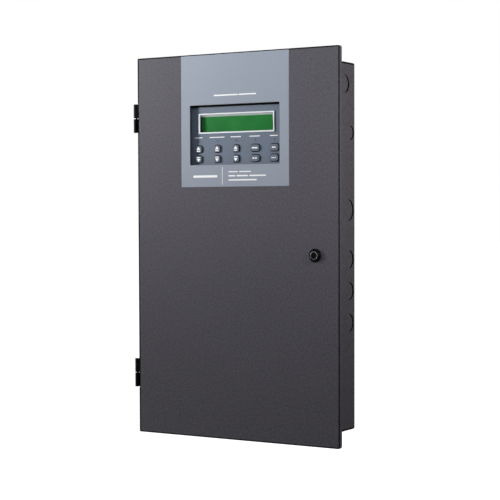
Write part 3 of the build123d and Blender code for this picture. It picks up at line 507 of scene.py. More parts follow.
@dataclass(frozen=True)
class DisplayGlass(Finish):
    """A green liquid crystal window with its faint rows of character cells."""

    cell: tuple[float, float] = (3.3 * MM, 6.8 * MM)

    def build(self, graph: Graph) -> bpy.types.Material:
        """Writes the glass: cell grid, cloudy backlight and a clear gloss.

        Args:
            graph: The empty graph to write in.

        Returns:
            The finished material.
        """
        x, _, z = graph.axes()
        cloud = graph.noise(22.0, 2.0, 0.5)
        across = graph.maths("PINGPONG", x, self.cell[0] / 2)
        up = graph.maths("PINGPONG", z, self.cell[1] / 2)
        grid = graph.maths(
            "MINIMUM",
            graph.spread(across, 0.0, 0.25 * self.cell[0]),
            graph.spread(up, 0.0, 0.18 * self.cell[1]),
        )
        dim, bright = shade(self.colour, 0.92), shade(self.colour, 1.08)
        colour = graph.blend(graph.spread(cloud, 0.35, 0.65), dim, bright)
        colour = graph.blend(graph.maths("MULTIPLY", grid, 0.08), colour, shade(self.colour, 0.6))
        return graph.finish(
            Base_Color=colour,
            Roughness=graph.spread(cloud, 0.3, 0.7, self.roughness - 0.02, self.roughness + 0.03),
            Specular_IOR_Level=0.25,
            Coat_Weight=0.15,
            Coat_Roughness=0.06,
        )


@dataclass(frozen=True)
class CircuitMask(Finish):
    """Solder mask over copper tracks."""

    def build(self, graph: Graph) -> bpy.types.Material:
        """Writes the mask: tracks as stepped bands, pads as dots and the mask's gloss.

        Args:
            graph: The empty graph to write in.

        Returns:
            The finished material.
        """
        x, _, z = graph.axes()
        zone = graph.noise(26.0, 0.0, 0.5)
        turned = graph.maths("GREATER_THAN", zone, 0.5)
        diagonal = graph.maths("ADD", x, graph.maths("MULTIPLY", turned, z))
        plain = graph.maths("ADD", z, graph.maths("MULTIPLY", turned, 0.0013))
        lanes_a = graph.maths("PINGPONG", diagonal, 0.9 * MM)
        lanes_b = graph.maths("PINGPONG", plain, 1.1 * MM)
        pick = graph.maths("GREATER_THAN", graph.noise(17.0, 0.0, 0.5), 0.49)
        other = graph.maths("SUBTRACT", 1.0, pick)
        lanes = graph.maths(
            "ADD", graph.maths("MULTIPLY", lanes_a, pick), graph.maths("MULTIPLY", lanes_b, other)
        )
        tracks = graph.spread(lanes, 0.35 * MM, 0.45 * MM)
        busy = graph.spread(graph.noise(34.0, 1.0, 0.5), 0.47, 0.5)
        tracks = graph.maths("MULTIPLY", tracks, busy)
        vias = graph.spread(graph.cells(150.0), 0.07, 0.09, 1.0, 0.0)
        colour = graph.blend(tracks, self.colour, shade(self.colour, 1.55))
        colour = graph.blend(vias, colour, VIA_TIN)
        gloss = graph.noise(300.0)
        return graph.finish(
            Base_Color=colour,
            Roughness=graph.spread(gloss, 0.3, 0.7, self.roughness - 0.04, self.roughness + 0.06),
            Normal=graph.bump(tracks, 0.03 * MM),
        )


@dataclass(frozen=True)
class Banded(Finish):
    """A surface with regular bands along one axis, such as laminations, tape turns or ribbon wires."""

    axis: int = 1
    pitch: float = 0.6 * MM
    contrast: float = 0.4
    depth: float = 0.1 * MM

    def build(self, graph: Graph) -> bpy.types.Material:
        """Writes the bands as colour and height, broken up by noise.

        Args:
            graph: The empty graph to write in.

        Returns:
            The finished material.
        """
        value = graph.axes()[self.axis]
        wobble = graph.maths("MULTIPLY", graph.noise(180.0), 0.25 * self.pitch)
        bands = graph.maths("PINGPONG", graph.maths("ADD", value, wobble), self.pitch / 2)
        lines = graph.spread(bands, 0.06 * self.pitch, 0.22 * self.pitch)
        patch = graph.noise(70.0, 3.0, 0.6)
        colour = graph.blend(lines, shade(self.colour, 1 - self.contrast), self.colour)
        colour = graph.blend(graph.spread(patch, 0.4, 0.7, 0.0, 0.25), colour, shade(self.colour, 0.75))
        roughness = graph.spread(patch, 0.3, 0.7, self.roughness - 0.06, self.roughness + 0.08)
        return graph.finish(Base_Color=colour, Roughness=roughness, Normal=graph.bump(lines, self.depth))


# Both coats paint near black shade along their folds: the door's on all four sides, the box's at its top and
# bottom.
DOOR_PAINT = PowderCoat(
    "door_paint", "door_paint", (0.0690, 0.0655, 0.0790), 0.68, bend=(0.2032, -0.0965, 0.335275)
)
BOX_PAINT = PowderCoat(
    "box_paint",
    "box_paint",
    (0.0720, 0.0650, 0.0745),
    0.70,
    bend=(NOWHERE, 0.0, 0.314325),
    bend_shade_widths=(0.0, 0.0, 3.8 * MM),
    bend_shade_lid=0.6 * MM,
)
# The hinges' coat paints shade into the side of the barrel in the fold by the door.
HINGE_PAINT = HingeCoat("hinge_paint", "hinge_black", (0.011, 0.011, 0.0115), 0.62, 0.06 * MM, 0.2, 0.08)
LOCK_PAINT = PowderCoat("lock_paint", "lock_black", (0.004, 0.004, 0.0045), 0.35, 0.02 * MM, 0.15, 0.08)
PIN_STEEL = BareMetal("pin_steel", "pin_steel", (0.32, 0.32, 0.33), 0.4, (1.0, 1.0, 0.1))
LOCK_STEEL = BareMetal("lock_steel", "lock_steel", (0.55, 0.55, 0.56), 0.28)
ZINC = BareMetal("zinc_plate", "zinc_steel", (0.60, 0.60, 0.57), 0.34)
BRASS = BareMetal("earth_brass", "earth_brass", (0.74, 0.55, 0.24), 0.3)
TIN = BareMetal("tab_tin", "tab_tin", (0.68, 0.66, 0.60), 0.32, (1.0, 1.0, 0.1))
ALUMINIUM = BareMetal("sink_aluminium", "sink_aluminium", (0.66, 0.66, 0.67), 0.36, (1.0, 1.0, 0.06))
OVERLAY = PrintedFilm("overlay_film", "decal_film", (0.240, 0.272, 0.328), 0.6)
PRINT_WHITE = Moulded("print_white", "decal_film", (0.78, 0.79, 0.80), 0.5, 0.01 * MM, 2400.0, 0.02)
PANEL_PLASTIC = Moulded("panel_plastic", "bezel_plastic", (0.086, 0.114, 0.163), 0.6, 0.06 * MM, 1500.0, 0.05)
KEY_PLASTIC = Moulded("key_plastic", "key_plastic", (0.078, 0.102, 0.142), 0.55, 0.03 * MM, 1900.0, 0.04)
KEY_PRINT = Moulded("key_print", "key_plastic", (0.85, 0.86, 0.87), 0.45, 0.01 * MM, 2400.0, 0.02)
FRAME_WHITE = Moulded("frame_white", "frame_white", (0.72, 0.76, 0.79), 0.35, 0.02 * MM, 1600.0, 0.03)
CASE_BLACK = Moulded("case_black", "case_black", (0.016, 0.016, 0.018), 0.45)
STOP_RUBBER = Moulded("stop_rubber", "stop_rubber", (0.018, 0.018, 0.018), 0.85, 0.08 * MM)
GREEN_GLASS = DisplayGlass("display_green", "display_green", (0.008, 0.146, 0.025), 0.30)
LENS = Moulded("indicator_lens", "indicator_lens", (0.080, 0.098, 0.125), 0.22, 0.0, 600.0, 0.1)
BOARD_MASK = CircuitMask("board_mask", "board_green", (0.014, 0.095, 0.040), 0.34)
TERMINAL_PLASTIC = Moulded("terminal_plastic", "terminal_green", (0.022, 0.20, 0.085), 0.4)
SLEEVE = Moulded("capacitor_sleeve", "capacitor_sleeve", (0.020, 0.028, 0.075), 0.3, 0.01 * MM)
BATTERY_PLASTIC = Moulded(
    "battery_plastic", "battery_case", (0.036, 0.037, 0.042), 0.5, 0.09 * MM, 1100.0, 0.08
)
CORE_IRON = Banded("core_iron", "core_iron", (0.085, 0.075, 0.068), 0.5, 1, 0.7 * MM, 0.5, 0.12 * MM)
COIL_TAPE = Banded("coil_tape", "coil_tape", (0.60, 0.40, 0.055), 0.38, 2, 9.0 * MM, 0.3, 0.15 * MM)
BOOT_VINYL = Moulded("boot_vinyl", "boot_vinyl", (0.30, 0.018, 0.018), 0.42, 0.02 * MM)
LEAD_VINYL = Moulded("lead_vinyl", "lead_vinyl", (0.022, 0.022, 0.024), 0.4, 0.02 * MM)
SLEEVE_STRIPE = Moulded("capacitor_stripe", "capacitor_sleeve", (0.40, 0.42, 0.46), 0.35, 0.01 * MM)
RIBBON_VINYL = Banded("ribbon_vinyl", "ribbon_grey", (0.36, 0.36, 0.37), 0.45, 0, 1.27 * MM, 0.35, 0.2 * MM)

CHIP_BLACK = Moulded("chip_black", "case_black", (0.020, 0.020, 0.022), 0.55, 0.04 * MM, 2600.0, 0.08)
HEADER_WHITE = Moulded("header_white", "frame_white", (0.62, 0.61, 0.56), 0.42, 0.02 * MM)
PART_TAN = Moulded("part_tan", "case_black", (0.30, 0.19, 0.10), 0.5, 0.02 * MM, 2600.0, 0.15)
BOARD_PRINT = Moulded("board_print", "frame_white", (0.70, 0.71, 0.68), 0.6, 0.01 * MM, 2400.0, 0.05)
# Dark marks of painted shade for screw recesses and slots, wire entries, vents and a lid's joint.
RECESS_SHADE = Moulded("recess_shade", "case_black", (0.006, 0.006, 0.006), 0.7, 0.02 * MM)
# Black foam whose black is painted shade for the gap under the display's window.
SHADE_FOAM = Moulded("gap_shade_foam", "stop_rubber", (0.004, 0.004, 0.004), 0.95, 0.2 * MM, 900.0, 0.2, 0.1)
# Black pieces of painted shade that darken the knockouts' slits and the gaps round the keys.
GAP_SHADE_BLACK = Moulded("gap_shade_black", "stop_rubber", (0.001, 0.001, 0.001), 0.9, 0.02 * MM, gloss=0.0)
LOCK_CHROME = BareMetal("lock_chrome", "lock_steel", (0.80, 0.80, 0.82), 0.34, (1.0, 1.0, 1.0), 0.005 * MM)
PLUG_DARK = BareMetal("plug_dark", "lock_steel", (0.030, 0.030, 0.034), 0.30)


# ---------------------------------------------------------------------------- mesh helpers
def dress(node: bpy.types.Object, finish: Finish) -> None:
    """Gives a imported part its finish.

    Args:
        node: The part's object.
        finish: The finish it wears.
    """
    material = finish.material()
    if node.material_slots:
        for slot in node.material_slots:
            slot.material = material
    else:
        node.data.materials.append(material)
    LOG.info("dressed %s in %s", node.name, finish.name)


def dress_all(nodes: dict[str, bpy.types.Object], worn: dict[str, Finish]) -> None:
    """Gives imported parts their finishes.

    Args:
        nodes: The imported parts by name.
        worn: The finish of each part by the part's name.
    """
    for name, finish in worn.items():
        dress(nodes[name], finish)


@contextmanager
def new_piece(
    name: str, finish: Finish, body: str = Body.CABINET, smooth_below: float = 35.0
) -> Iterator[Work]:
    """Opens a mesh to draw a piece in, then dresses the piece and sets it riding on a body.

    Args:
        name: The piece's name.
        finish: The finish it wears.
        body: The body it rides on.
        smooth_below: Edges that turn by fewer degrees than this are shaded smooth.

    Yields:
        The mesh to draw in.
    """
    mesh = bpy.data.meshes.new(name)
    work = bmesh.new()
    yield work
    bmesh.ops.recalc_face_normals(work, faces=work.faces)
    work.to_mesh(mesh)
    work.free()
    for polygon in mesh.polygons:
        polygon.use_smooth = True
    mesh.set_sharp_from_angle(angle=math.radians(smooth_below))
    mesh.materials.append(finish.material())
    piece = bpy.data.objects.new(name, mesh)
    bpy.context.scene.collection.objects.link(piece)
    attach(piece, str(getattr(body, "value", body)))
    LOG.info("built %s, %d faces", name, len(mesh.polygons))


def slab(work: Work, low: Sequence[float], high: Sequence[float], edge: float = 0.0) -> None:
    """Adds a block with softened edges.

    Args:
        work: The mesh to add to.
        low: Its lowest corner.
        high: Its highest corner.
        edge: Radius of its edges.
    """
    size = Vector(high) - Vector(low)
    middle = (Vector(high) + Vector(low)) / 2
    matrix = Matrix.Translation(middle) @ Matrix.Diagonal((*size, 1.0))
    made = bmesh.ops.create_cube(work, size=1.0, matrix=matrix)
    if edge > 0:
        edges = list({e for v in made["verts"] for e in v.link_edges})
        bmesh.ops.bevel(work, geom=edges, offset=edge, segments=2, profile=0.5, affect="EDGES")


def plate(work: Work, outline: Iterable[Point2], back: float, front: float) -> None:
    """Adds a flat plate that stands on a plane facing the front.

    Args:
        work: The mesh to add to.
        outline: Its corners as (x, z), in order.
        back: Y of its back face.
        front: Y of its front face.
    """
    base = [work.verts.new((x, back, z)) for x, z in outline]
    face = work.faces.new(base)
    made = bmesh.ops.extrude_face_region(work, geom=[face])
    top = [v for v in made["geom"] if isinstance(v, bmesh.types.BMVert)]
    bmesh.ops.translate(work, vec=(0.0, front - back, 0.0), verts=top)


def turned(
    work: Work, profile: Sequence[Point2], x: float, z: float, segments: int = 32, axis: str = "Y"
) -> None:
    """Adds a turned solid about an axis along Y or Z.

    Args:
        work: The mesh to add to.
        profile: (radius, height) points from one end to the other, the height along the axis.
        x: X of the axis.
        z: Z of an axis along Y, or Y of an axis along Z.
        segments: Steps around.
        axis: "Y" or "Z".
    """
    rings = []
    for radius, height in profile:
        ring = []
        for i in range(segments):
            angle = 2 * math.pi * i / segments
            across, up = radius * math.cos(angle), radius * math.sin(angle)
            place = (x + across, height, z + up) if axis == "Y" else (x + across, z + up, height)
            ring.append(work.verts.new(place))
        rings.append(ring)
    for first, second in zip(rings, rings[1:]):
        for i in range(segments):
            j = (i + 1) % segments
            work.faces.new((first[i], first[j], second[j], second[i]))
    work.faces.new(rings[0])
    work.faces.new(list(reversed(rings[-1])))


def bar_outline(x: float, z: float, width: float, height: float, steps: int = 6) -> list[Point2]:
    """The outline of a bar with round ends.

    Args:
        x: Its middle.
        z: Its middle.
        width: Its length from end to end.
        height: Its height, which is also the width of its round ends.
        steps: Points round each end.

    Returns:
        The outline's (x, z) points.
    """
    radius = height / 2
    reach = width / 2 - radius
    points = []
    for side in (1, -1):
        for i in range(steps + 1):
            angle = -math.pi / 2 + math.pi * i / steps
            across, up = reach + radius * math.cos(angle), radius * math.sin(angle)
            points.append((x + side * across, z + side * up))
    return points


def rounded_outline(
    x: float, z: float, width: float, height: float, corner: float, steps: int = 5
) -> list[Point2]:
    """The outline of a rectangle with round corners.

    Args:
        x: Its middle.
        z: Its middle.
        width: Its width.
        height: Its height.
        corner: Radius of its corners.
        steps: Spans round each corner.

    Returns:
        The outline's (x, z) points.
    """
    points = []
    for quarter, (right, up) in enumerate(((1, 1), (-1, 1), (-1, -1), (1, -1))):
        corner_x = x + right * (width / 2 - corner)
        corner_z = z + up * (height / 2 - corner)
        for i in range(steps + 1):
            angle = math.pi / 2 * (quarter + i / steps)
            points.append((corner_x + corner * math.cos(angle), corner_z + corner * math.sin(angle)))
    return points


def frame_plate(
    work: Work, inner: Sequence[Point2], outer: Sequence[Point2], back: float, front: float
) -> None:
    """Adds a flat frame between two outlines with as many points each.

    Args:
        work: The mesh to add to.
        inner: Its inner outline as (x, z).
        outer: Its outer outline as (x, z).
        back: Y of its back face.
        front: Y of its front face.
    """
    sides = ((inner, back), (outer, back), (outer, front), (inner, front))
    loops = [[work.verts.new((x, y, z)) for x, z in line] for line, y in sides]
    count = len(inner)
    for i in range(count):
        j = (i + 1) % count
        for first, second in zip(loops, loops[1:] + loops[:1]):
            work.faces.new((first[i], second[i], second[j], first[j]))


def ring_plate(
    work: Work, x: float, z: float, radii: tuple[float, float], back: float, front: float
) -> None:
    """Adds a rounded ring that stands on a plane facing the front.

    Args:
        work: The mesh to add to.
        x: Its middle.
        z: Its middle.
        radii: Its inner and outer radius.
        back: Y of its back face.
        front: Y of its front face.
    """
    inner, outer = radii
    round_off = min(outer - inner, back - front) * 0.35
    profile = [
        (inner, back),
        (outer, back),
        (outer, front + round_off),
        (outer - round_off, front),
        (inner + round_off, front),
        (inner, front + round_off),
    ]
    segments = 40
    rings = []
    for i in range(segments):
        angle = 2 * math.pi * i / segments
        across, up = math.cos(angle), math.sin(angle)
        rings.append([work.verts.new((x + r * across, y, z + r * up)) for r, y in profile])
    for i in range(segments):
        first, second = rings[i], rings[(i + 1) % segments]
        for j in range(len(profile)):
            k = (j + 1) % len(profile)
            work.faces.new((first[j], first[k], second[k], second[j]))


def middle_of(node: str) -> Vector:
    """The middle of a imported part's box."""
    low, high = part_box(node)
    return (low + high) / 2


def front_middle(low: Vector, high: Vector) -> Point2:
    """The middle of a box seen from the front, as (x, z)."""
    return (low.x + high.x) / 2, (low.z + high.z) / 2


def rectangle(left: float, right: float, foot: float, head: float) -> list[Point2]:
    """The corners of an upright rectangle, in order."""
    return [(left, foot), (right, foot), (right, head), (left, head)]


def islands(node: bpy.types.Object) -> list[tuple[Vector, Vector]]:
    """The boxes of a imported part's separate solids, from left to right and top to bottom.

    Args:
        node: The part's object.

    Returns:
        The lowest and highest corner of each solid.
    """
    work = bmesh.new()
    work.from_mesh(node.data)
    bmesh.ops.remove_doubles(work, verts=work.verts, dist=1e-6)
    left = set(work.verts)
    boxes = []
    while left:
        group = {left.pop()}
        edge = list(group)
        while edge:
            vert = edge.pop()
            for link in vert.link_edges:
                other = link.other_vert(vert)
                if other in left:
                    left.remove(other)
                    group.add(other)
                    edge.append(other)
        low = Vector([min(v.co[i] for v in group) for i in range(3)])
        high = Vector([max(v.co[i] for v in group) for i in range(3)])
        boxes.append((low, high))
    work.free()
    return sorted(boxes, key=lambda box: (round(box[0].x, 4), -round(box[0].z, 4)))


def cross_recess(work: Work, x: float, z: float, face: float, reach: float) -> None:
    """Adds a dark cross just proud of a screw's head, painted shade for its recess.

    Args:
        work: The mesh to add to.
        x: The head's middle.
        z: The head's middle.
        face: Y of the head's front.
        reach: Length of each arm from the middle.
    """
    arm = reach * 0.24
    tip = arm * 0.55
    outline = []
    for turn in range(4):
        c, d = math.cos(turn * math.pi / 2), math.sin(turn * math.pi / 2)
        for a, b in ((arm, arm), (tip, reach), (-tip, reach)):
            outline.append((x + a * c - b * d, z + a * d + b * c))
    plate(work, outline, face, face - 0.06 * MM)


# ---------------------------------------------------------------------------- studio
@dataclass
class Lamp:
    """One soft rectangular light."""

    name: str
    place: tuple[float, float, float]
    aim: tuple[float, float, float]
    size: tuple[float, float]
    watts: float
    spread: float = 180.0

    def build(self) -> None:
        """Adds the light to the scene, pointing at its aim."""
        data = bpy.data.lights.new(self.name, "AREA")
        data.shape = "RECTANGLE"
        data.size, data.size_y = self.size
        data.energy = self.watts
        data.spread = math.radians(self.spread)
        lamp = bpy.data.objects.new(self.name, data)
        lamp.location = self.place
        lamp.rotation_euler = (Vector(self.aim) - Vector(self.place)).to_track_quat("-Z", "Y").to_euler()
        lamp.visible_camera = False
        bpy.context.scene.collection.objects.link(lamp)


@dataclass
class Studio:
    """Floor, lights and camera around the cabinet."""

    azimuth: float = 31.07
    elevation: float = 2.255
    roll: float = -0.183
    distance: float = 2.5509
    slide: tuple[float, float] = (0.02557, -0.04059)
    lens: float = 106.33
    sensor: float = 36.0
    shift: tuple[float, float] = (0.0015, 0.0411)
    floor_drop: float = 0.35
    floor_size: float = 60.0
    ambient: float = 0.10
    lamps: list[Lamp] = field(default_factory=list)

    def build_camera(self) -> None:
        """Stands the camera before the middle of the door's front."""
        a, e, r = (math.radians(angle) for angle in (self.azimuth, self.elevation, self.roll))
        back = Vector((math.sin(a) * math.cos(e), -math.cos(a) * math.cos(e), math.sin(e)))
        level = Vector((math.cos(a), math.sin(a), 0.0))
        upright = back.cross(level)
        right = level * math.cos(r) + upright * math.sin(r)
        up = upright * math.cos(r) - level * math.sin(r)
        low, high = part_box("door_panel")
        target = Vector(((low.x + high.x) / 2, low.y, (low.z + high.z) / 2))
        place = target + back * self.distance + right * self.slide[0] + up * self.slide[1]
        data = bpy.data.cameras.new("camera")
        data.lens = self.lens
        data.sensor_width = self.sensor
        data.shift_x, data.shift_y = self.shift
        camera = bpy.data.objects.new("camera", data)
        turn = Matrix((right, up, back)).transposed()
        camera.matrix_world = Matrix.Translation(place) @ turn.to_4x4()
        bpy.context.scene.collection.objects.link(camera)
        bpy.context.scene.camera = camera

    def build_floor(self) -> None:
        """Lays a pale floor below the cabinet."""
        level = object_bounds()[0][2] - self.floor_drop
        mesh = bpy.data.meshes.new("floor")
        half = self.floor_size / 2
        corners = [(-half, -half, level), (half, -half, level), (half, half, level), (-half, half, level)]
        mesh.from_pydata(corners, [], [(0, 1, 2, 3)])
        floor = bpy.data.objects.new("floor", mesh)
        bpy.context.scene.collection.objects.link(floor)
        material = bpy.data.materials.new("pale_floor")
        material.use_nodes = True
        shader = material.node_tree.nodes["Principled BSDF"]
        shader.inputs["Base Color"].default_value = (0.9, 0.9, 0.9, 1.0)
        shader.inputs["Roughness"].default_value = 0.9
        shader.inputs["Emission Color"].default_value = (1.0, 1.0, 1.0, 1.0)
        seen = material.node_tree.nodes.new("ShaderNodeLightPath").outputs["Is Camera Ray"]
        material.node_tree.links.new(seen, shader.inputs["Emission Strength"])
        mesh.materials.append(material)
        floor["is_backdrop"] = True

    def build_world(self) -> None:
        """Makes a white surround that shows white and lights softly."""
        world = bpy.data.worlds.new("studio_world")
        world.use_nodes = True
        tree = world.node_tree
        tree.nodes.clear()
        seen = tree.nodes.new("ShaderNodeBackground")
        seen.inputs["Color"].default_value = (1.0, 1.0, 1.0, 1.0)
        glow = tree.nodes.new("ShaderNodeBackground")
        glow.inputs["Color"].default_value = (1.0, 0.985, 0.99, 1.0)
        glow.inputs["Strength"].default_value = self.ambient
        path = tree.nodes.new("ShaderNodeLightPath")
        mix = tree.nodes.new("ShaderNodeMixShader")
        output = tree.nodes.new("ShaderNodeOutputWorld")
        tree.links.new(path.outputs["Is Camera Ray"], mix.inputs["Fac"])
        tree.links.new(glow.outputs["Background"], mix.inputs[1])
        tree.links.new(seen.outputs["Background"], mix.inputs[2])
        tree.links.new(mix.outputs["Shader"], output.inputs["Surface"])
        bpy.context.scene.world = world

    def build(self) -> None:
        """Builds the whole studio."""
        bpy.context.scene.view_settings.view_transform = "Standard"
        self.build_camera()
        self.build_floor()
        self.build_world()
        for lamp in self.lamps:
            lamp.build()


# ---------------------------------------------------------------------------- door
@dataclass
class Door:
    """The door, its overlay print, hinge leaves, stops and lock."""

    nodes: dict[str, bpy.types.Object]
    print_height: float = 0.12 * MM
    divider_x: float = -24.0 * MM
    divider_width: float = 0.9 * MM
    divider_height: float = 30.6 * MM
    divider_foot: float = 3.6 * MM
    trim_radii: tuple[float, float] = (9.6 * MM, 11.4 * MM)
    trim_proud: float = 1.7 * MM
    rim_radii: tuple[float, float] = (6.05 * MM, 6.5 * MM)
    rim_proud: float = 0.3 * MM

    def build(self) -> None:
        """Dresses the door's parts and prints the overlay."""
        dress(self.nodes["door_panel"], DOOR_PAINT)
        dress(self.nodes["door_decal"], OVERLAY)
        dress(self.nodes["door_bumpers"], STOP_RUBBER)
        for name in ("upper_hinge_door_leaf", "lower_hinge_door_leaf"):
            dress(self.nodes[name], HINGE_PAINT)
        dress(self.nodes["lock_body"], LOCK_PAINT)
        dress(self.nodes["lock_plug"], PLUG_DARK)
        for name in ("lock_nut", "lock_cam", "lock_cam_screw"):
            dress(self.nodes[name], LOCK_STEEL)
        self.print_overlay()
        self.build_lock_rings()

    def print_overlay(self) -> None:
        """Prints the divider and the plain bars that stand in for lettering."""
        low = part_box("door_decal")[0]
        face, foot = low.y, low.z
        # middle across, middle above the overlay's foot, width and height, in millimetres
        bars = (
            (-16.5, 158.0, 49.0, 2.2),
            (27.0, 158.0, 35.0, 2.2),
            (-59.0, 18.2, 50.0, 4.0),
            (-2.0, 25.6, 19.0, 1.7),
            (22.0, 25.6, 24.0, 1.7),
            (-4.5, 18.6, 14.0, 2.3),
            (16.5, 18.6, 23.0, 2.3),
            (47.0, 18.6, 33.0, 2.3),
            (17.0, 11.4, 57.0, 2.3),
        )
        with new_piece("overlay_print", PRINT_WHITE, Body.DOOR) as work:
            half = self.divider_width / 2
            bottom = foot + self.divider_foot
            left, right = self.divider_x - half, self.divider_x + half
            outline = rectangle(left, right, bottom, bottom + self.divider_height)
            plate(work, outline, face, face - self.print_height)
            for x, z, width, height in bars:
                outline = bar_outline(x * MM, foot + z * MM, width * MM, height * MM)
                plate(work, outline, face, face - self.print_height)

    def build_lock_rings(self) -> None:
        """Adds the black trim ring round the lock and the bright rim round its plug."""
        middle = middle_of("lock_plug")
        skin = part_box("door_panel")[0].y
        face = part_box("lock_body")[0].y
        with new_piece("lock_trim_ring", LOCK_PAINT, Body.DOOR) as work:
            ring_plate(work, middle.x, middle.z, self.trim_radii, skin, skin - self.trim_proud)
        with new_piece("lock_plug_rim", LOCK_CHROME, Body.DOOR, 60.0) as work:
            ring_plate(work, middle.x, middle.z, self.rim_radii, face, face - self.rim_proud)


# ---------------------------------------------------------------------------- keypad and display
class Symbol(Enum):
    """The plain symbols on the keys."""

    UP = "up"
    DOWN = "down"
    LONG = "long bar"
    SHORT = "short bar"
    PAIR = "two bars"
    STEPS = "three bars"


# width in millimetres and number of the bars on each wide key
BAR_ROWS = {Symbol.LONG: (11.5, 1), Symbol.SHORT: (7.5, 1), Symbol.PAIR: (4.0, 2), Symbol.STEPS: (2.4, 3)}


def symbol_outlines(symbol: Symbol, x: float, z: float) -> list[list[Point2]]:
    """The outlines of one key's symbol.

    Args:
        symbol: The symbol.
        x: Its middle across.
        z: Its middle up.

    Returns:
        The outlines, each as (x, z) points.
    """
    if symbol in (Symbol.UP, Symbol.DOWN):
        s = 1.0 if symbol is Symbol.UP else -1.0
        triangle = [(-3.8, -1.0), (3.8, -1.0), (0.0, 4.6)]
        made = [[(x + a * MM, z + s * b * MM) for a, b in triangle]]
        return made + [bar_outline(x, z - s * 3.2 * MM, 7.2 * MM, 1.5 * MM)]
    width, count = BAR_ROWS[symbol]
    pitch = (width + 1.0) * MM
    first = x - pitch * (count - 1) / 2
    return [bar_outline(first + i * pitch, z, width * MM, 2.0 * MM) for i in range(count)]


@dataclass
class Keypad:
    """The keypad panel, its keys, symbols, labels and indicators."""

    nodes: dict[str, bpy.types.Object]
    columns: int = 5
    print_height: float = 0.12 * MM
    gasket_height: float = 6.0 * MM
    label_rise: float = 6.4 * MM
    label_shift: float = -1.2 * MM
    label_height: float = 1.5 * MM
    label_widths: tuple[float, ...] = (16.0, 31.0, 21.0, 21.0, 16.0)
    flange_reach: float = 1.8 * MM
    hole_gap: float = 0.9 * MM
    narrow_limit: float = 15.0 * MM
    corners: tuple[float, float] = (2.4 * MM, 4.8 * MM)
    lip_play: float = 0.08 * MM
    lip_width: float = 0.4 * MM
    lip_proud: float = 0.1 * MM
    lip_depth: float = 0.8 * MM

    def build(self) -> None:
        """Dresses the panel and its keys, and prints symbols and labels."""
        dress(self.nodes["keypad_bezel"], PANEL_PLASTIC)
        dress(self.nodes["indicator_lights"], LENS)
        dress(self.nodes["key_switches"], CASE_BLACK)
        dress(self.nodes["bezel_screws"], ZINC)
        symbols = {
            "upper": (Symbol.UP, Symbol.UP, Symbol.UP, Symbol.LONG, Symbol.SHORT),
            "lower": (Symbol.DOWN, Symbol.DOWN, Symbol.DOWN, Symbol.PAIR, Symbol.STEPS),
        }
        for row, row_symbols in symbols.items():
            for column, symbol in enumerate(row_symbols, 1):
                key = f"{row}_key_{column}"
                dress(self.nodes[key], KEY_PLASTIC)
                self.print_symbol(key, symbol)
        self.print_labels()
        self.build_shade_gasket()
        self.build_key_gap_shade()

    def build_key_gap_shade(self) -> None:
        """Fills the gap round each key with a black lip that turns over onto the panel, as painted shade."""
        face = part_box("display_frame")[1].y
        front = face - self.lip_proud
        grows = (self.lip_play, self.hole_gap - self.lip_play, self.hole_gap + self.lip_width)
        with new_piece("key_gap_shade", GAP_SHADE_BLACK) as work:
            for row in ("upper", "lower"):
                for column in range(1, self.columns + 1):
                    low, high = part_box(f"{row}_key_{column}")
                    x, z = front_middle(low, high)
                    width = high.x - low.x - 2 * self.flange_reach
                    height = high.z - low.z - 2 * self.flange_reach
                    corner = self.corners[0] if width < self.narrow_limit else self.corners[1]
                    key, hole, rim = (
                        rounded_outline(x, z, width + 2 * grow, height + 2 * grow, corner + grow)
                        for grow in grows
                    )
                    frame_plate(work, key, hole, face + self.lip_depth, front)
                    frame_plate(work, hole, rim, face, front)

    def build_shade_gasket(self) -> None:
        """Lays a strip of black foam along the panel's upper edge that closes the gap under the window; its
        black is painted shade.
        """
        low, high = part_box("keypad_bezel")
        inset = 3.0 * MM
        with new_piece("panel_shade_gasket", SHADE_FOAM) as work:
            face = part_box("display_frame")[1].y
            foot = (low.x + inset, face - 1.2 * MM, high.z)
            slab(work, foot, (high.x - inset, face + 2.4 * MM, high.z + self.gasket_height), 0.4 * MM)

    def print_symbol(self, key: str, symbol: Symbol) -> None:
        """Prints a symbol on a key.

        Args:
            key: The key's part, which is also its body.
            symbol: The symbol to print.
        """
        middle = middle_of(key)
        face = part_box(key)[0].y
        with new_piece(f"{key}_symbol", KEY_PRINT, key) as work:
            for outline in symbol_outlines(symbol, middle.x, middle.z):
                plate(work, outline, face, face - self.print_height)

    def print_labels(self) -> None:
        """Prints a plain bar above each indicator."""
        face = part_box("display_frame")[1].y
        level = middle_of("indicator_lights").z + self.label_rise
        with new_piece("indicator_labels", PRINT_WHITE) as work:
            for column, width in enumerate(self.label_widths, 1):
                x = middle_of(f"upper_key_{column}").x + self.label_shift
                outline = bar_outline(x, level, width * MM, self.label_height)
                plate(work, outline, face, face - self.print_height)


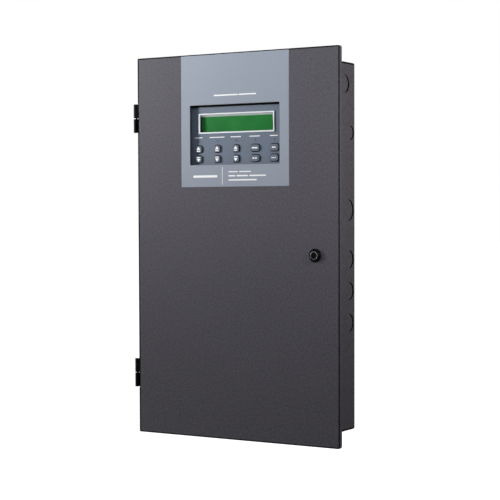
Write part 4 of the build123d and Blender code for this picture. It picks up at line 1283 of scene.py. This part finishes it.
@dataclass
class Display:
    """The display's rim, black lining of painted shade, bevel, case and glass."""

    nodes: dict[str, bpy.types.Object]
    lining: float = 0.25 * MM
    bevel_height: float = 3.4 * MM
    bevel_depth: float = 4.5 * MM

    def build(self) -> None:
        """Dresses the display and lines its recess with black painted shade."""
        dress(self.nodes["display_frame"], FRAME_WHITE)
        dress(self.nodes["display_case"], CASE_BLACK)
        dress(self.nodes["display_glass"], GREEN_GLASS)
        dress(self.nodes["display_board"], BOARD_MASK)
        self.build_shade_lining()

    def build_shade_lining(self) -> None:
        """Lines the recess's walls in black as painted shade, with a pale slope along its top."""
        outer_low, outer_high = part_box("display_frame")
        case_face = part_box("display_case")[0].y
        wall = 2.4 * MM
        left, right = outer_low.x + wall, outer_high.x - wall
        foot, head = outer_low.z + wall, outer_high.z - wall
        front = outer_high.y
        t = self.lining
        with new_piece("display_shade_lining", CASE_BLACK) as work:
            slab(work, (left, front, foot), (left + t, case_face, head))
            slab(work, (right - t, front, foot), (right, case_face, head))
            slab(work, (left, front, foot), (right, case_face, foot + t))
            slab(work, (left, front, head - t), (right, case_face, head))
        with new_piece("display_slope", FRAME_WHITE) as work:
            back = front + self.bevel_depth
            ring = [(front, head - t), (back, head - self.bevel_height), (back, head - t)]
            near = [work.verts.new((left + t, y, z)) for y, z in ring]
            far = [work.verts.new((right - t, y, z)) for y, z in ring]
            work.faces.new(near)
            work.faces.new(list(reversed(far)))
            for i in range(3):
                j = (i + 1) % 3
                work.faces.new((near[i], near[j], far[j], far[i]))


# ---------------------------------------------------------------------------- cabinet and its insides
@dataclass
class Cabinet:
    """The box, its hinge leaves, pins, rivets and knockouts."""

    nodes: dict[str, bpy.types.Object]
    mounts: list[dict]
    slit_width: float = 3.0 * MM
    slit_share: float = 0.93
    slit_play: float = 0.04 * MM
    slit_shade_depth: float = 0.9 * MM
    lip_width: float = 0.8 * MM
    lip_proud: float = 0.15 * MM
    lip_gap: float = 0.02 * MM
    slit_shade_steps: int = 20

    def build(self) -> None:
        """Dresses the box and its hardware."""
        dress(self.nodes["back_box"], BOX_PAINT)
        for name in ("upper_hinge_frame_leaf", "lower_hinge_frame_leaf", "hinge_rivets"):
            dress(self.nodes[name], HINGE_PAINT)
        for name in ("upper_hinge_pin", "lower_hinge_pin"):
            dress(self.nodes[name], PIN_STEEL)
        self.build_slit_shade()

    def crescent(self, work: Work, entry: dict, grow: float, top: float, bottom: float) -> None:
        """Adds one crescent of black painted shade at a knockout's slit: the slit's filling or the lip round
        it.

        Args:
            work: The mesh to add to.
            entry: The knockout's mount, with its place, axis and radius.
            grow: How far the crescent reaches past the slit on both sides, negative for play.
            top: Height of the outer face above the box's side.
            bottom: Height of the inner face above the box's side, negative inside the wall.
        """
        spot, out = Vector(entry["pos_m"]), Vector(entry["axis"])
        radius = entry["dims"]["r_mm"] * MM + grow
        along = out.cross(Vector((0.0, 1.0, 0.0)))
        width = self.slit_width + 2 * grow
        turns = [math.pi * (i / self.slit_shade_steps - 0.5) * self.slit_share for i in range(self.slit_shade_steps + 1)]
        outer = [(radius * math.cos(turn), radius * math.sin(turn)) for turn in turns]
        inner = [(back - width, side) for back, side in outer]

        def ring(height: float, line: list[Point2]) -> list[bmesh.types.BMVert]:
            """The corners of one edge line, at a height above the box's side."""
            start = spot + out * height
            return [work.verts.new(start + Vector((0.0, back, 0.0)) + along * side) for back, side in line]

        top_in, top_out = ring(top, inner), ring(top, outer)
        low_in, low_out = ring(bottom, inner), ring(bottom, outer)
        for i in range(self.slit_shade_steps):
            j = i + 1
            work.faces.new((top_in[i], top_out[i], top_out[j], top_in[j]))
            work.faces.new((low_in[j], low_out[j], low_out[i], low_in[i]))
            work.faces.new((top_out[i], low_out[i], low_out[j], top_out[j]))
            work.faces.new((top_in[j], low_in[j], low_in[i], top_in[i]))
        for i in (0, self.slit_shade_steps):
            work.faces.new((top_in[i], low_in[i], low_out[i], top_out[i]))

    def build_slit_shade(self) -> None:
        """Fills the crescent slits of the conduit knockouts with thin black crescents and their lips, painted
        shade that darkens the slits.
        """
        entries = [mount for mount in self.mounts if "conduit" in mount["name"]]
        with new_piece("knockout_slit_shade", GAP_SHADE_BLACK) as work:
            for entry in entries:
                self.crescent(work, entry, -self.slit_play, 0.0, -self.slit_shade_depth)
                self.crescent(work, entry, self.lip_width, self.lip_proud, self.lip_gap)


@dataclass
class MainBoard:
    """The main board with its terminals, chips and small parts.

    The chips' height, the room round the parts and the lists of places are in millimetres.
    """

    nodes: dict[str, bpy.types.Object]
    terminal_pitch: float = 7.3 * MM
    screw_radius: float = 2.5 * MM
    chip_height: float = 2.4
    small_parts: int = 170
    edge_room: float = 5.0 * MM
    part_room: float = 5.0
    taken: list[tuple[float, float, float, float]] = field(default_factory=list)
    face: float = field(init=False)

    def __post_init__(self) -> None:
        """Reads where the board's front face lies."""
        self.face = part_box("main_board")[0].y

    def build(self) -> None:
        """Dresses the board's parts and sets its details on it."""
        worn = {
            "main_board": BOARD_MASK,
            "board_standoffs": BRASS,
            "display_posts": ZINC,
            "board_screws": ZINC,
            "left_terminal_strip": TERMINAL_PLASTIC,
            "right_terminal_strip": TERMINAL_PLASTIC,
            "board_relays": CASE_BLACK,
            "board_capacitors": SLEEVE,
            "board_heat_sink": ALUMINIUM,
            "board_sounder": CASE_BLACK,
            "ribbon_headers": CASE_BLACK,
            "ribbon_cable": RIBBON_VINYL,
        }
        dress_all(self.nodes, worn)
        self.build_terminals()
        self.build_screw_recesses()
        self.build_capacitor_tops()
        self.build_relay_lids()
        self.build_sounder_grille()
        self.build_chips()
        self.build_small_parts()
        self.build_connectors()

    def block(
        self, work: Work, place: Point2, half: Point2, heights: tuple[float, float], edge: float
    ) -> None:
        """Adds a block on the board, with every length in millimetres.

        Args:
            work: The mesh to add to.
            place: Its middle, as (x, z).
            half: Half its width and half its height.
            heights: Its top and its foot above the board.
            edge: Radius of its edges.
        """
        (x, z), (w, h), (top, foot) = place, half, heights
        slab(
            work,
            ((x - w) * MM, self.face - top * MM, (z - h) * MM),
            ((x + w) * MM, self.face - foot * MM, (z + h) * MM),
            edge * MM,
        )

    def build_terminals(self) -> None:
        """Sets a slotted screw, a wire entry and a dividing line at each pole of both strips."""
        for side in ("left", "right"):
            low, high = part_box(f"{side}_terminal_strip")
            poles = int((high.x - low.x) / self.terminal_pitch)
            first = (low.x + high.x) / 2 - (poles - 1) * self.terminal_pitch / 2
            xs = [first + i * self.terminal_pitch for i in range(poles)]
            front, level = low.y, high.z - 5.4 * MM
            step = low.z + 5.0 * MM
            with new_piece(f"{side}_terminal_screws", ZINC) as work:
                r = self.screw_radius
                profile = [(r, front), (r, front - 0.25 * MM), (r * 0.86, front - 0.5 * MM)]
                for x in xs:
                    turned(work, profile, x, level, 20)
            # The screws' slots are dark plates of painted shade.
            with new_piece(f"{side}_terminal_slots", RECESS_SHADE) as work:
                r = self.screw_radius * 0.8
                for i, x in enumerate(xs):
                    turn = 0.5 * math.sin(5.1 * i)
                    a, b = math.cos(turn), math.sin(turn)
                    w = 0.32 * MM
                    ends = [(-r, -w), (r, -w), (r, w), (-r, w)]
                    outline = [(x + p * a - q * b, level + p * b + q * a) for p, q in ends]
                    plate(work, outline, front - 0.45 * MM, front - 0.58 * MM)
            # The wire entries are dark pieces of painted shade.
            with new_piece(f"{side}_terminal_entries", RECESS_SHADE) as work:
                for x in xs:
                    left, right = x - 2.1 * MM, x + 2.1 * MM
                    slab(work, (left, front + 6.2 * MM, step - 0.1 * MM), (right, front + 10.5 * MM, step))
                    slab(
                        work,
                        (left, front + 4.92 * MM, low.z + 0.8 * MM),
                        (right, front + 5.1 * MM, step - 0.6 * MM),
                    )
            with new_piece(f"{side}_terminal_walls", TERMINAL_PLASTIC) as work:
                half, foot, head = 0.35 * MM, step + 0.4 * MM, high.z - 0.4 * MM
                for i in range(poles + 1):
                    x = first + (i - 0.5) * self.terminal_pitch
                    slab(work, (x - half, front - 0.7 * MM, foot), (x + half, front, head), 0.1 * MM)

    def build_screw_recesses(self) -> None:
        """Marks the cross recess of every board screw with painted shade."""
        with new_piece("board_screw_recesses", RECESS_SHADE) as work:
            for low, high in islands(self.nodes["board_screws"]):
                cross_recess(work, *front_middle(low, high), low.y, (high.x - low.x) * 0.30)

    def build_capacitor_tops(self) -> None:
        """Caps each capacitor with its bare can end and vent, and stripes its sleeve."""
        cans = islands(self.nodes["board_capacitors"])
        with new_piece("capacitor_tops", ALUMINIUM) as work:
            for low, high in cans:
                r = (high.x - low.x) / 2 * 0.86
                profile = [(r, low.y), (r, low.y - 0.12 * MM), (r * 0.93, low.y - 0.2 * MM)]
                turned(work, profile, *front_middle(low, high))
        # The vent's scored cross is painted shade.
        with new_piece("capacitor_vents", RECESS_SHADE) as work:
            for low, high in cans:
                reach = (high.x - low.x) * 0.3
                cross_recess(work, *front_middle(low, high), low.y - 0.2 * MM, reach)
        with new_piece("capacitor_stripes", SLEEVE_STRIPE) as work:
            steps = 5
            angles = [math.radians(60 + 34 * i / steps) for i in range(steps + 1)]
            for low, high in cans:
                (x, z), r = front_middle(low, high), (high.x - low.x) / 2
                outer, inner = (
                    [(x + radius * math.cos(angle), z + radius * math.sin(angle)) for angle in angles]
                    for radius in (r + 0.05 * MM, r - 0.3 * MM)
                )
                plate(work, outer + inner[::-1], high.y - 2.0 * MM, low.y + 1.2 * MM)

    def build_relay_lids(self) -> None:
        """Prints plain marks on the relays' fronts."""
        with new_piece("relay_marks", BOARD_PRINT) as work:
            for low, high in islands(self.nodes["board_relays"]):
                x, z = front_middle(low, high)
                width = (high.x - low.x) * 0.62
                for i, share in enumerate((1.0, 0.7, 0.85)):
                    level = z + (2.2 - 2.2 * i) * MM
                    plate(work, bar_outline(x, level, width * share, 0.7 * MM), low.y, low.y - 0.05 * MM)

    def build_sounder_grille(self) -> None:
        """Rings the sounder's opening."""
        low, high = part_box("board_sounder")
        middle = (low + high) / 2
        with new_piece("sounder_rings", CASE_BLACK) as work:
            for inner, outer in ((2.4 * MM, 3.1 * MM), (7.4 * MM, 8.0 * MM)):
                ring_plate(work, middle.x, middle.z, (inner, outer), low.y, low.y - 0.35 * MM)

    def build_chips(self) -> None:
        """Sets the large chips, their legs, their first-leg marks and a crystal can."""
        # middle across, middle up, width and height in millimetres, and legs to a side
        chips = [
            (-128.0, 214.0, 22.0, 22.0, 11),
            (-126.0, 168.0, 15.0, 20.0, 9),
            (-128.0, 128.0, 20.0, 9.0, 5),
            (-66.0, 104.0, 16.0, 16.0, 8),
            (-18.0, 108.0, 26.0, 9.0, 10),
            (34.0, 106.0, 20.0, 12.0, 8),
            (126.0, 150.0, 18.0, 18.0, 9),
            (122.0, 226.0, 14.0, 9.0, 5),
            (-84.0, 82.0, 10.0, 6.0, 4),
            (62.0, 84.0, 10.0, 6.0, 4),
        ]
        face = self.face
        with new_piece("board_chip_bodies", CHIP_BLACK) as work:
            for x, z, w, h, _ in chips:
                self.block(work, (x, z), (w / 2, h / 2), (self.chip_height, 0.35), 0.25)
        with new_piece("board_chip_legs", TIN) as work:
            for x, z, w, h, count in chips:
                for i in range(count):
                    reach = (w / 2 - 1.2) * (2 * i / (count - 1) - 1)
                    for side in (-1, 1):
                        near, far = z + side * (h / 2 - 0.1), z + side * (h / 2 + 1.3)
                        for span, top in (((near, near + side * 0.6), 1.3), ((near + side * 0.5, far), 0.3)):
                            a, b = sorted(span)
                            slab(
                                work,
                                ((x + reach - 0.25) * MM, face - top * MM, a * MM),
                                ((x + reach + 0.25) * MM, face - 0.02 * MM, b * MM),
                            )
        with new_piece("board_chip_marks", BOARD_PRINT) as work:
            top = face - self.chip_height * MM
            for x, z, w, h, _ in chips:
                profile = [(0.6 * MM, top), (0.6 * MM, top - 0.03 * MM)]
                turned(work, profile, (x - w / 2 + 1.8) * MM, (z + h / 2 - 1.8) * MM, 16)
        with new_piece("board_crystal", ALUMINIUM) as work:
            outline = bar_outline(-104.0 * MM, 118.0 * MM, 11.0 * MM, 4.6 * MM, 10)
            plate(work, outline, face - 0.2 * MM, face - 3.4 * MM)
            outline = bar_outline(-104.0 * MM, 118.0 * MM, 11.9 * MM, 5.4 * MM, 10)
            plate(work, outline, face, face - 0.45 * MM)

        self.taken += [(x, z, w + 5.0, h + 7.0) for x, z, w, h, _ in chips]
        self.taken.append((-104.0, 118.0, 16.0, 10.0))

    def block_out(self) -> None:
        """Notes the places on the board that its larger parts cover."""
        large = (
            "left_terminal_strip",
            "right_terminal_strip",
            "board_relays",
            "board_capacitors",
            "board_heat_sink",
            "board_sounder",
            "ribbon_headers",
            "board_screws",
        )
        for name in large:
            for low, high in islands(self.nodes[name]):
                middle, size = (low + high) / 2 / MM, (high - low) / MM
                self.taken.append((middle.x, middle.z, size.x + self.part_room, size.z + self.part_room))

    def free_spot(self, draw: random.Random) -> Point2:
        """Finds a place on the board, in millimetres, that nothing else covers.

        Args:
            draw: The seeded source of places.

        Returns:
            The place's x and z.
        """
        low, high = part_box("main_board")
        room = self.edge_room / MM
        while True:
            x = draw.uniform(low.x / MM + room, high.x / MM - room)
            z = draw.uniform(low.z / MM + room, high.z / MM - room)
            if all(abs(x - at_x) > w / 2 or abs(z - at_z) > h / 2 for at_x, at_z, w, h in self.taken):
                self.taken.append((x, z, 4.4, 4.4))
                return x, z

    def build_small_parts(self) -> None:
        """Scatters small chip resistors and capacitors in the clear areas."""
        self.block_out()
        draw = random.Random(11)
        parts = [
            (*self.free_spot(draw), draw.random() < 0.5, draw.random() < 0.6) for _ in range(self.small_parts)
        ]

        kinds = (("board_resistors", True, CHIP_BLACK), ("board_ceramics", False, PART_TAN))
        for name, resistor, finish in kinds:
            with new_piece(name, finish) as work:
                for x, z, upright, kind in parts:
                    if kind is resistor:
                        half = (0.6, 1.0) if upright else (1.0, 0.6)
                        self.block(work, (x, z), half, (0.8, 0.02), 0.05)
        with new_piece("board_part_ends", TIN) as work:
            for x, z, upright, _ in parts:
                for shift in (-1.25, 1.25):
                    place = (x, z + shift) if upright else (x + shift, z)
                    half = (0.7, 0.35) if upright else (0.35, 0.7)
                    self.block(work, place, half, (0.85, 0.02), 0.05)

    def build_connectors(self) -> None:
        """Sets white pin headers along the board's upper edge."""
        face, level = self.face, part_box("main_board")[1].z - 6.0 * MM
        # middle across in millimetres, and pins
        headers = [(-118.0, 8), (-70.0, 5), (-38.0, 3), (52.0, 6), (112.0, 4)]
        pitch = 2.5 * MM
        with new_piece("board_header_shells", HEADER_WHITE) as work:
            for x, count in headers:
                half = (count * pitch + 2.2 * MM) / 2
                left, end = x * MM - half, (x * MM + half, face, level + 2.9 * MM)
                slab(work, (left, face - 1.6 * MM, level - 2.9 * MM), end, 0.2 * MM)
                slab(work, (left, face - 8.0 * MM, level + 2.1 * MM), end, 0.15 * MM)
        with new_piece("board_header_pins", TIN) as work:
            for x, count in headers:
                for i in range(count):
                    at, half = x * MM + (i - (count - 1) / 2) * pitch, 0.32 * MM
                    slab(
                        work,
                        (at - half, face - 7.4 * MM, level - half),
                        (at + half, face - 1.5 * MM, level + half),
                        0.1 * MM,
                    )


@dataclass
class PowerSupply:
    """The transformer, the mains block and the earth stud."""

    nodes: dict[str, bpy.types.Object]
    bobbin_wall: float = 1.6 * MM

    def build(self) -> None:
        """Dresses the supply and adds bobbin walls, bolts, a label and terminal screws."""
        worn = {
            "transformer_core": CORE_IRON,
            "transformer_coil": COIL_TAPE,
            "transformer_angles": ZINC,
            "transformer_screws": ZINC,
            "mains_terminal_block": CASE_BLACK,
            "earth_stud": BRASS,
            "earth_nuts": BRASS,
        }
        dress_all(self.nodes, worn)
        self.build_transformer()
        self.build_mains_block()

    def build_transformer(self) -> None:
        """Adds the bobbin's end walls, the core's bolts and a plain label."""
        low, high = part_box("transformer_coil")
        core_low, core_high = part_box("transformer_core")
        with new_piece("transformer_bobbin", CHIP_BLACK) as work:
            t, back = self.bobbin_wall, core_low.y - 0.1 * MM
            for z0 in (low.z, high.z - t):
                slab(work, (low.x - t, low.y - t * 0.6, z0), (high.x + t, back, z0 + t), 0.3 * MM)
        with new_piece("transformer_bolts", ZINC, Body.CABINET, 25.0) as work:
            inset, y = 6.0 * MM, core_low.y
            washer = [(3.4 * MM, y), (3.4 * MM, y - 0.5 * MM)]
            head = [(2.9 * MM, y - 0.5 * MM), (2.9 * MM, y - 2.2 * MM), (2.3 * MM, y - 2.7 * MM)]
            for x in (core_low.x + inset, core_high.x - inset):
                for z in (core_low.z + inset, core_high.z - inset):
                    turned(work, washer, x, z, 24)
                    turned(work, head, x, z, 6)
        with new_piece("transformer_label", BOARD_PRINT) as work:
            middle = (low + high) / 2
            w, h = (high.x - low.x) * 0.38, (high.z - low.z) * 0.2
            slab(work, (middle.x - w, low.y - 0.12 * MM, middle.z - h), (middle.x + w, low.y, middle.z + h))
        with new_piece("transformer_label_lines", CHIP_BLACK) as work:
            middle = (low + high) / 2
            for i, width in enumerate((22.0, 16.0, 19.0)):
                level = middle.z + (3.0 - 3.0 * i) * MM
                outline = bar_outline(middle.x, level, width * MM, 0.9 * MM)
                plate(work, outline, low.y - 0.12 * MM, low.y - 0.17 * MM)

    def build_mains_block(self) -> None:
        """Adds screws and dividing walls to the mains block."""
        low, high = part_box("mains_terminal_block")
        poles = 4
        pitch = (high.x - low.x) / poles
        xs = [low.x + (i + 0.5) * pitch for i in range(poles)]
        level = (low.z + high.z) / 2
        with new_piece("mains_block_screws", ZINC) as work:
            y = low.y
            profile = [(3.0 * MM, y), (3.0 * MM, y - 0.5 * MM), (2.5 * MM, y - 0.9 * MM)]
            for x in xs:
                turned(work, profile, x, level, 20)
        # The screws' cross recesses are painted shade.
        with new_piece("mains_block_recesses", RECESS_SHADE) as work:
            for x in xs:
                cross_recess(work, x, level, low.y - 0.9 * MM, 1.8 * MM)
        with new_piece("mains_block_walls", CASE_BLACK) as work:
            half, foot, head = 0.6 * MM, low.z + 1.0 * MM, high.z - 1.0 * MM
            for i in range(1, poles):
                x = low.x + i * pitch
                slab(work, (x - half, low.y - 2.0 * MM, foot), (x + half, low.y, head), 0.2 * MM)


@dataclass
class Batteries:
    """The two standby batteries, their leads and the power leads."""

    nodes: dict[str, bpy.types.Object]
    lid_drop: float = 14.0 * MM
    seam: float = 0.9 * MM
    proud: float = 0.35 * MM

    def build(self) -> None:
        """Dresses the batteries and adds seams, panels, vent strips and pole marks."""
        worn = {
            "left_battery": BATTERY_PLASTIC,
            "right_battery": BATTERY_PLASTIC,
            "battery_tabs": TIN,
            "lead_boots": BOOT_VINYL,
            "battery_leads": LEAD_VINYL,
            "power_leads": LEAD_VINYL,
        }
        dress_all(self.nodes, worn)
        for side in ("left", "right"):
            self.build_case_details(side)
        self.build_pole_marks()

    def build_case_details(self, side: str) -> None:
        """Adds the lid's seam, a moulded front panel and a vent strip to one battery.

        Args:
            side: left or right.
        """
        low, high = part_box(f"{side}_battery")
        middle = (low + high) / 2
        p = self.proud
        # The lid's joint is a dark line of painted shade for its groove.
        with new_piece(f"{side}_battery_seam", RECESS_SHADE) as work:
            level = high.z - self.lid_drop
            left, right = low.x + 4.0 * MM, high.x - 4.0 * MM
            slab(work, (left, low.y - p * 0.3, level), (right, low.y + p, level + self.seam))
        with new_piece(f"{side}_battery_panel", BATTERY_PLASTIC) as work:
            w, h = (high.x - low.x) * 0.36, (high.z - low.z) * 0.24
            z = middle.z - 6.0 * MM
            rail = 1.8 * MM
            rails = (
                (-w, w, h - rail, h),
                (-w, w, -h, -h + rail),
                (-w, -w + rail, -h, h),
                (w - rail, w, -h, h),
            )
            for x0, x1, z0, z1 in rails:
                slab(work, (middle.x + x0, low.y - p, z + z0), (middle.x + x1, low.y + p, z + z1), 0.25 * MM)
            left, right = low.x + 8.0 * MM, high.x - 8.0 * MM
            for i in range(3):
                level = low.z + (9.0 + 5.0 * i) * MM
                slab(work, (left, low.y - p, level), (right, low.y + p, level + 1.4 * MM), 0.25 * MM)
        with new_piece(f"{side}_battery_vents", BATTERY_PLASTIC) as work:
            half, top = 46.0 * MM, high.z
            slab(
                work,
                (middle.x - half, middle.y - 9.0 * MM, top - 0.2 * MM),
                (middle.x + half, middle.y + 9.0 * MM, top + 1.0 * MM),
                0.4 * MM,
            )
            cap = [(4.6 * MM, top + 1.0 * MM), (4.6 * MM, top + 1.5 * MM), (4.0 * MM, top + 1.8 * MM)]
            for i in range(6):
                turned(work, cap, middle.x + (i - 2.5) * 15.0 * MM, middle.y, 24, "Z")

    def build_pole_marks(self) -> None:
        """Marks each tab on the battery's front with a plain plus or minus."""
        tabs = islands(self.nodes["battery_tabs"])
        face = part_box("left_battery")[0].y
        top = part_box("left_battery")[1].z
        with new_piece("battery_pole_marks", BOARD_PRINT) as work:
            for i, (low, high) in enumerate(tabs):
                x, level = (low.x + high.x) / 2, top - 7.0 * MM
                plate(work, bar_outline(x, level, 5.0 * MM, 1.1 * MM), face, face - 0.1 * MM)
                if i % 2:
                    half = 0.55 * MM
                    for z0, z1 in ((0.56, 2.5), (-2.5, -0.56)):
                        outline = rectangle(x - half, x + half, level + z0 * MM, level + z1 * MM)
                        plate(work, outline, face, face - 0.1 * MM)


def studio_lamps() -> list[Lamp]:
    """The lights: keys from the left, a near fill from the upper right and one behind for the back."""
    return [
        Lamp("left_key", (-1.25, -0.75, 0.35), (0.0, -0.10, 0.05), (0.30, 0.60), 11.6),
        Lamp("upper_key", (-1.60, -0.85, 0.45), (-0.25, -0.10, 0.48), (0.30, 0.40), 2.6, 45.0),
        Lamp("front_fill", (0.15, -0.85, 0.85), (0.0, -0.10, 0.20), (0.50, 0.40), 3.0),
        Lamp("right_fill", (0.66, -0.22, 0.26), (0.18, -0.04, 0.18), (0.25, 0.25), 2.9),
        Lamp("back_fill", (-0.90, 1.60, 0.90), (0.0, 0.0, 0.0), (1.00, 1.00), 9.0),
    ]


def main() -> None:
    """Builds the cabinet's looks in order, then the studio."""
    logging.basicConfig(level=logging.INFO, format="%(name)s: %(message)s")
    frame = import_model()
    nodes = frame["nodes"]
    Studio(lamps=studio_lamps()).build()
    Cabinet(nodes, frame["record"]["mounts"]).build()
    Door(nodes).build()
    Keypad(nodes).build()
    Display(nodes).build()
    MainBoard(nodes).build()
    PowerSupply(nodes).build()
    Batteries(nodes).build()


if __name__ == "__main__":
    main()
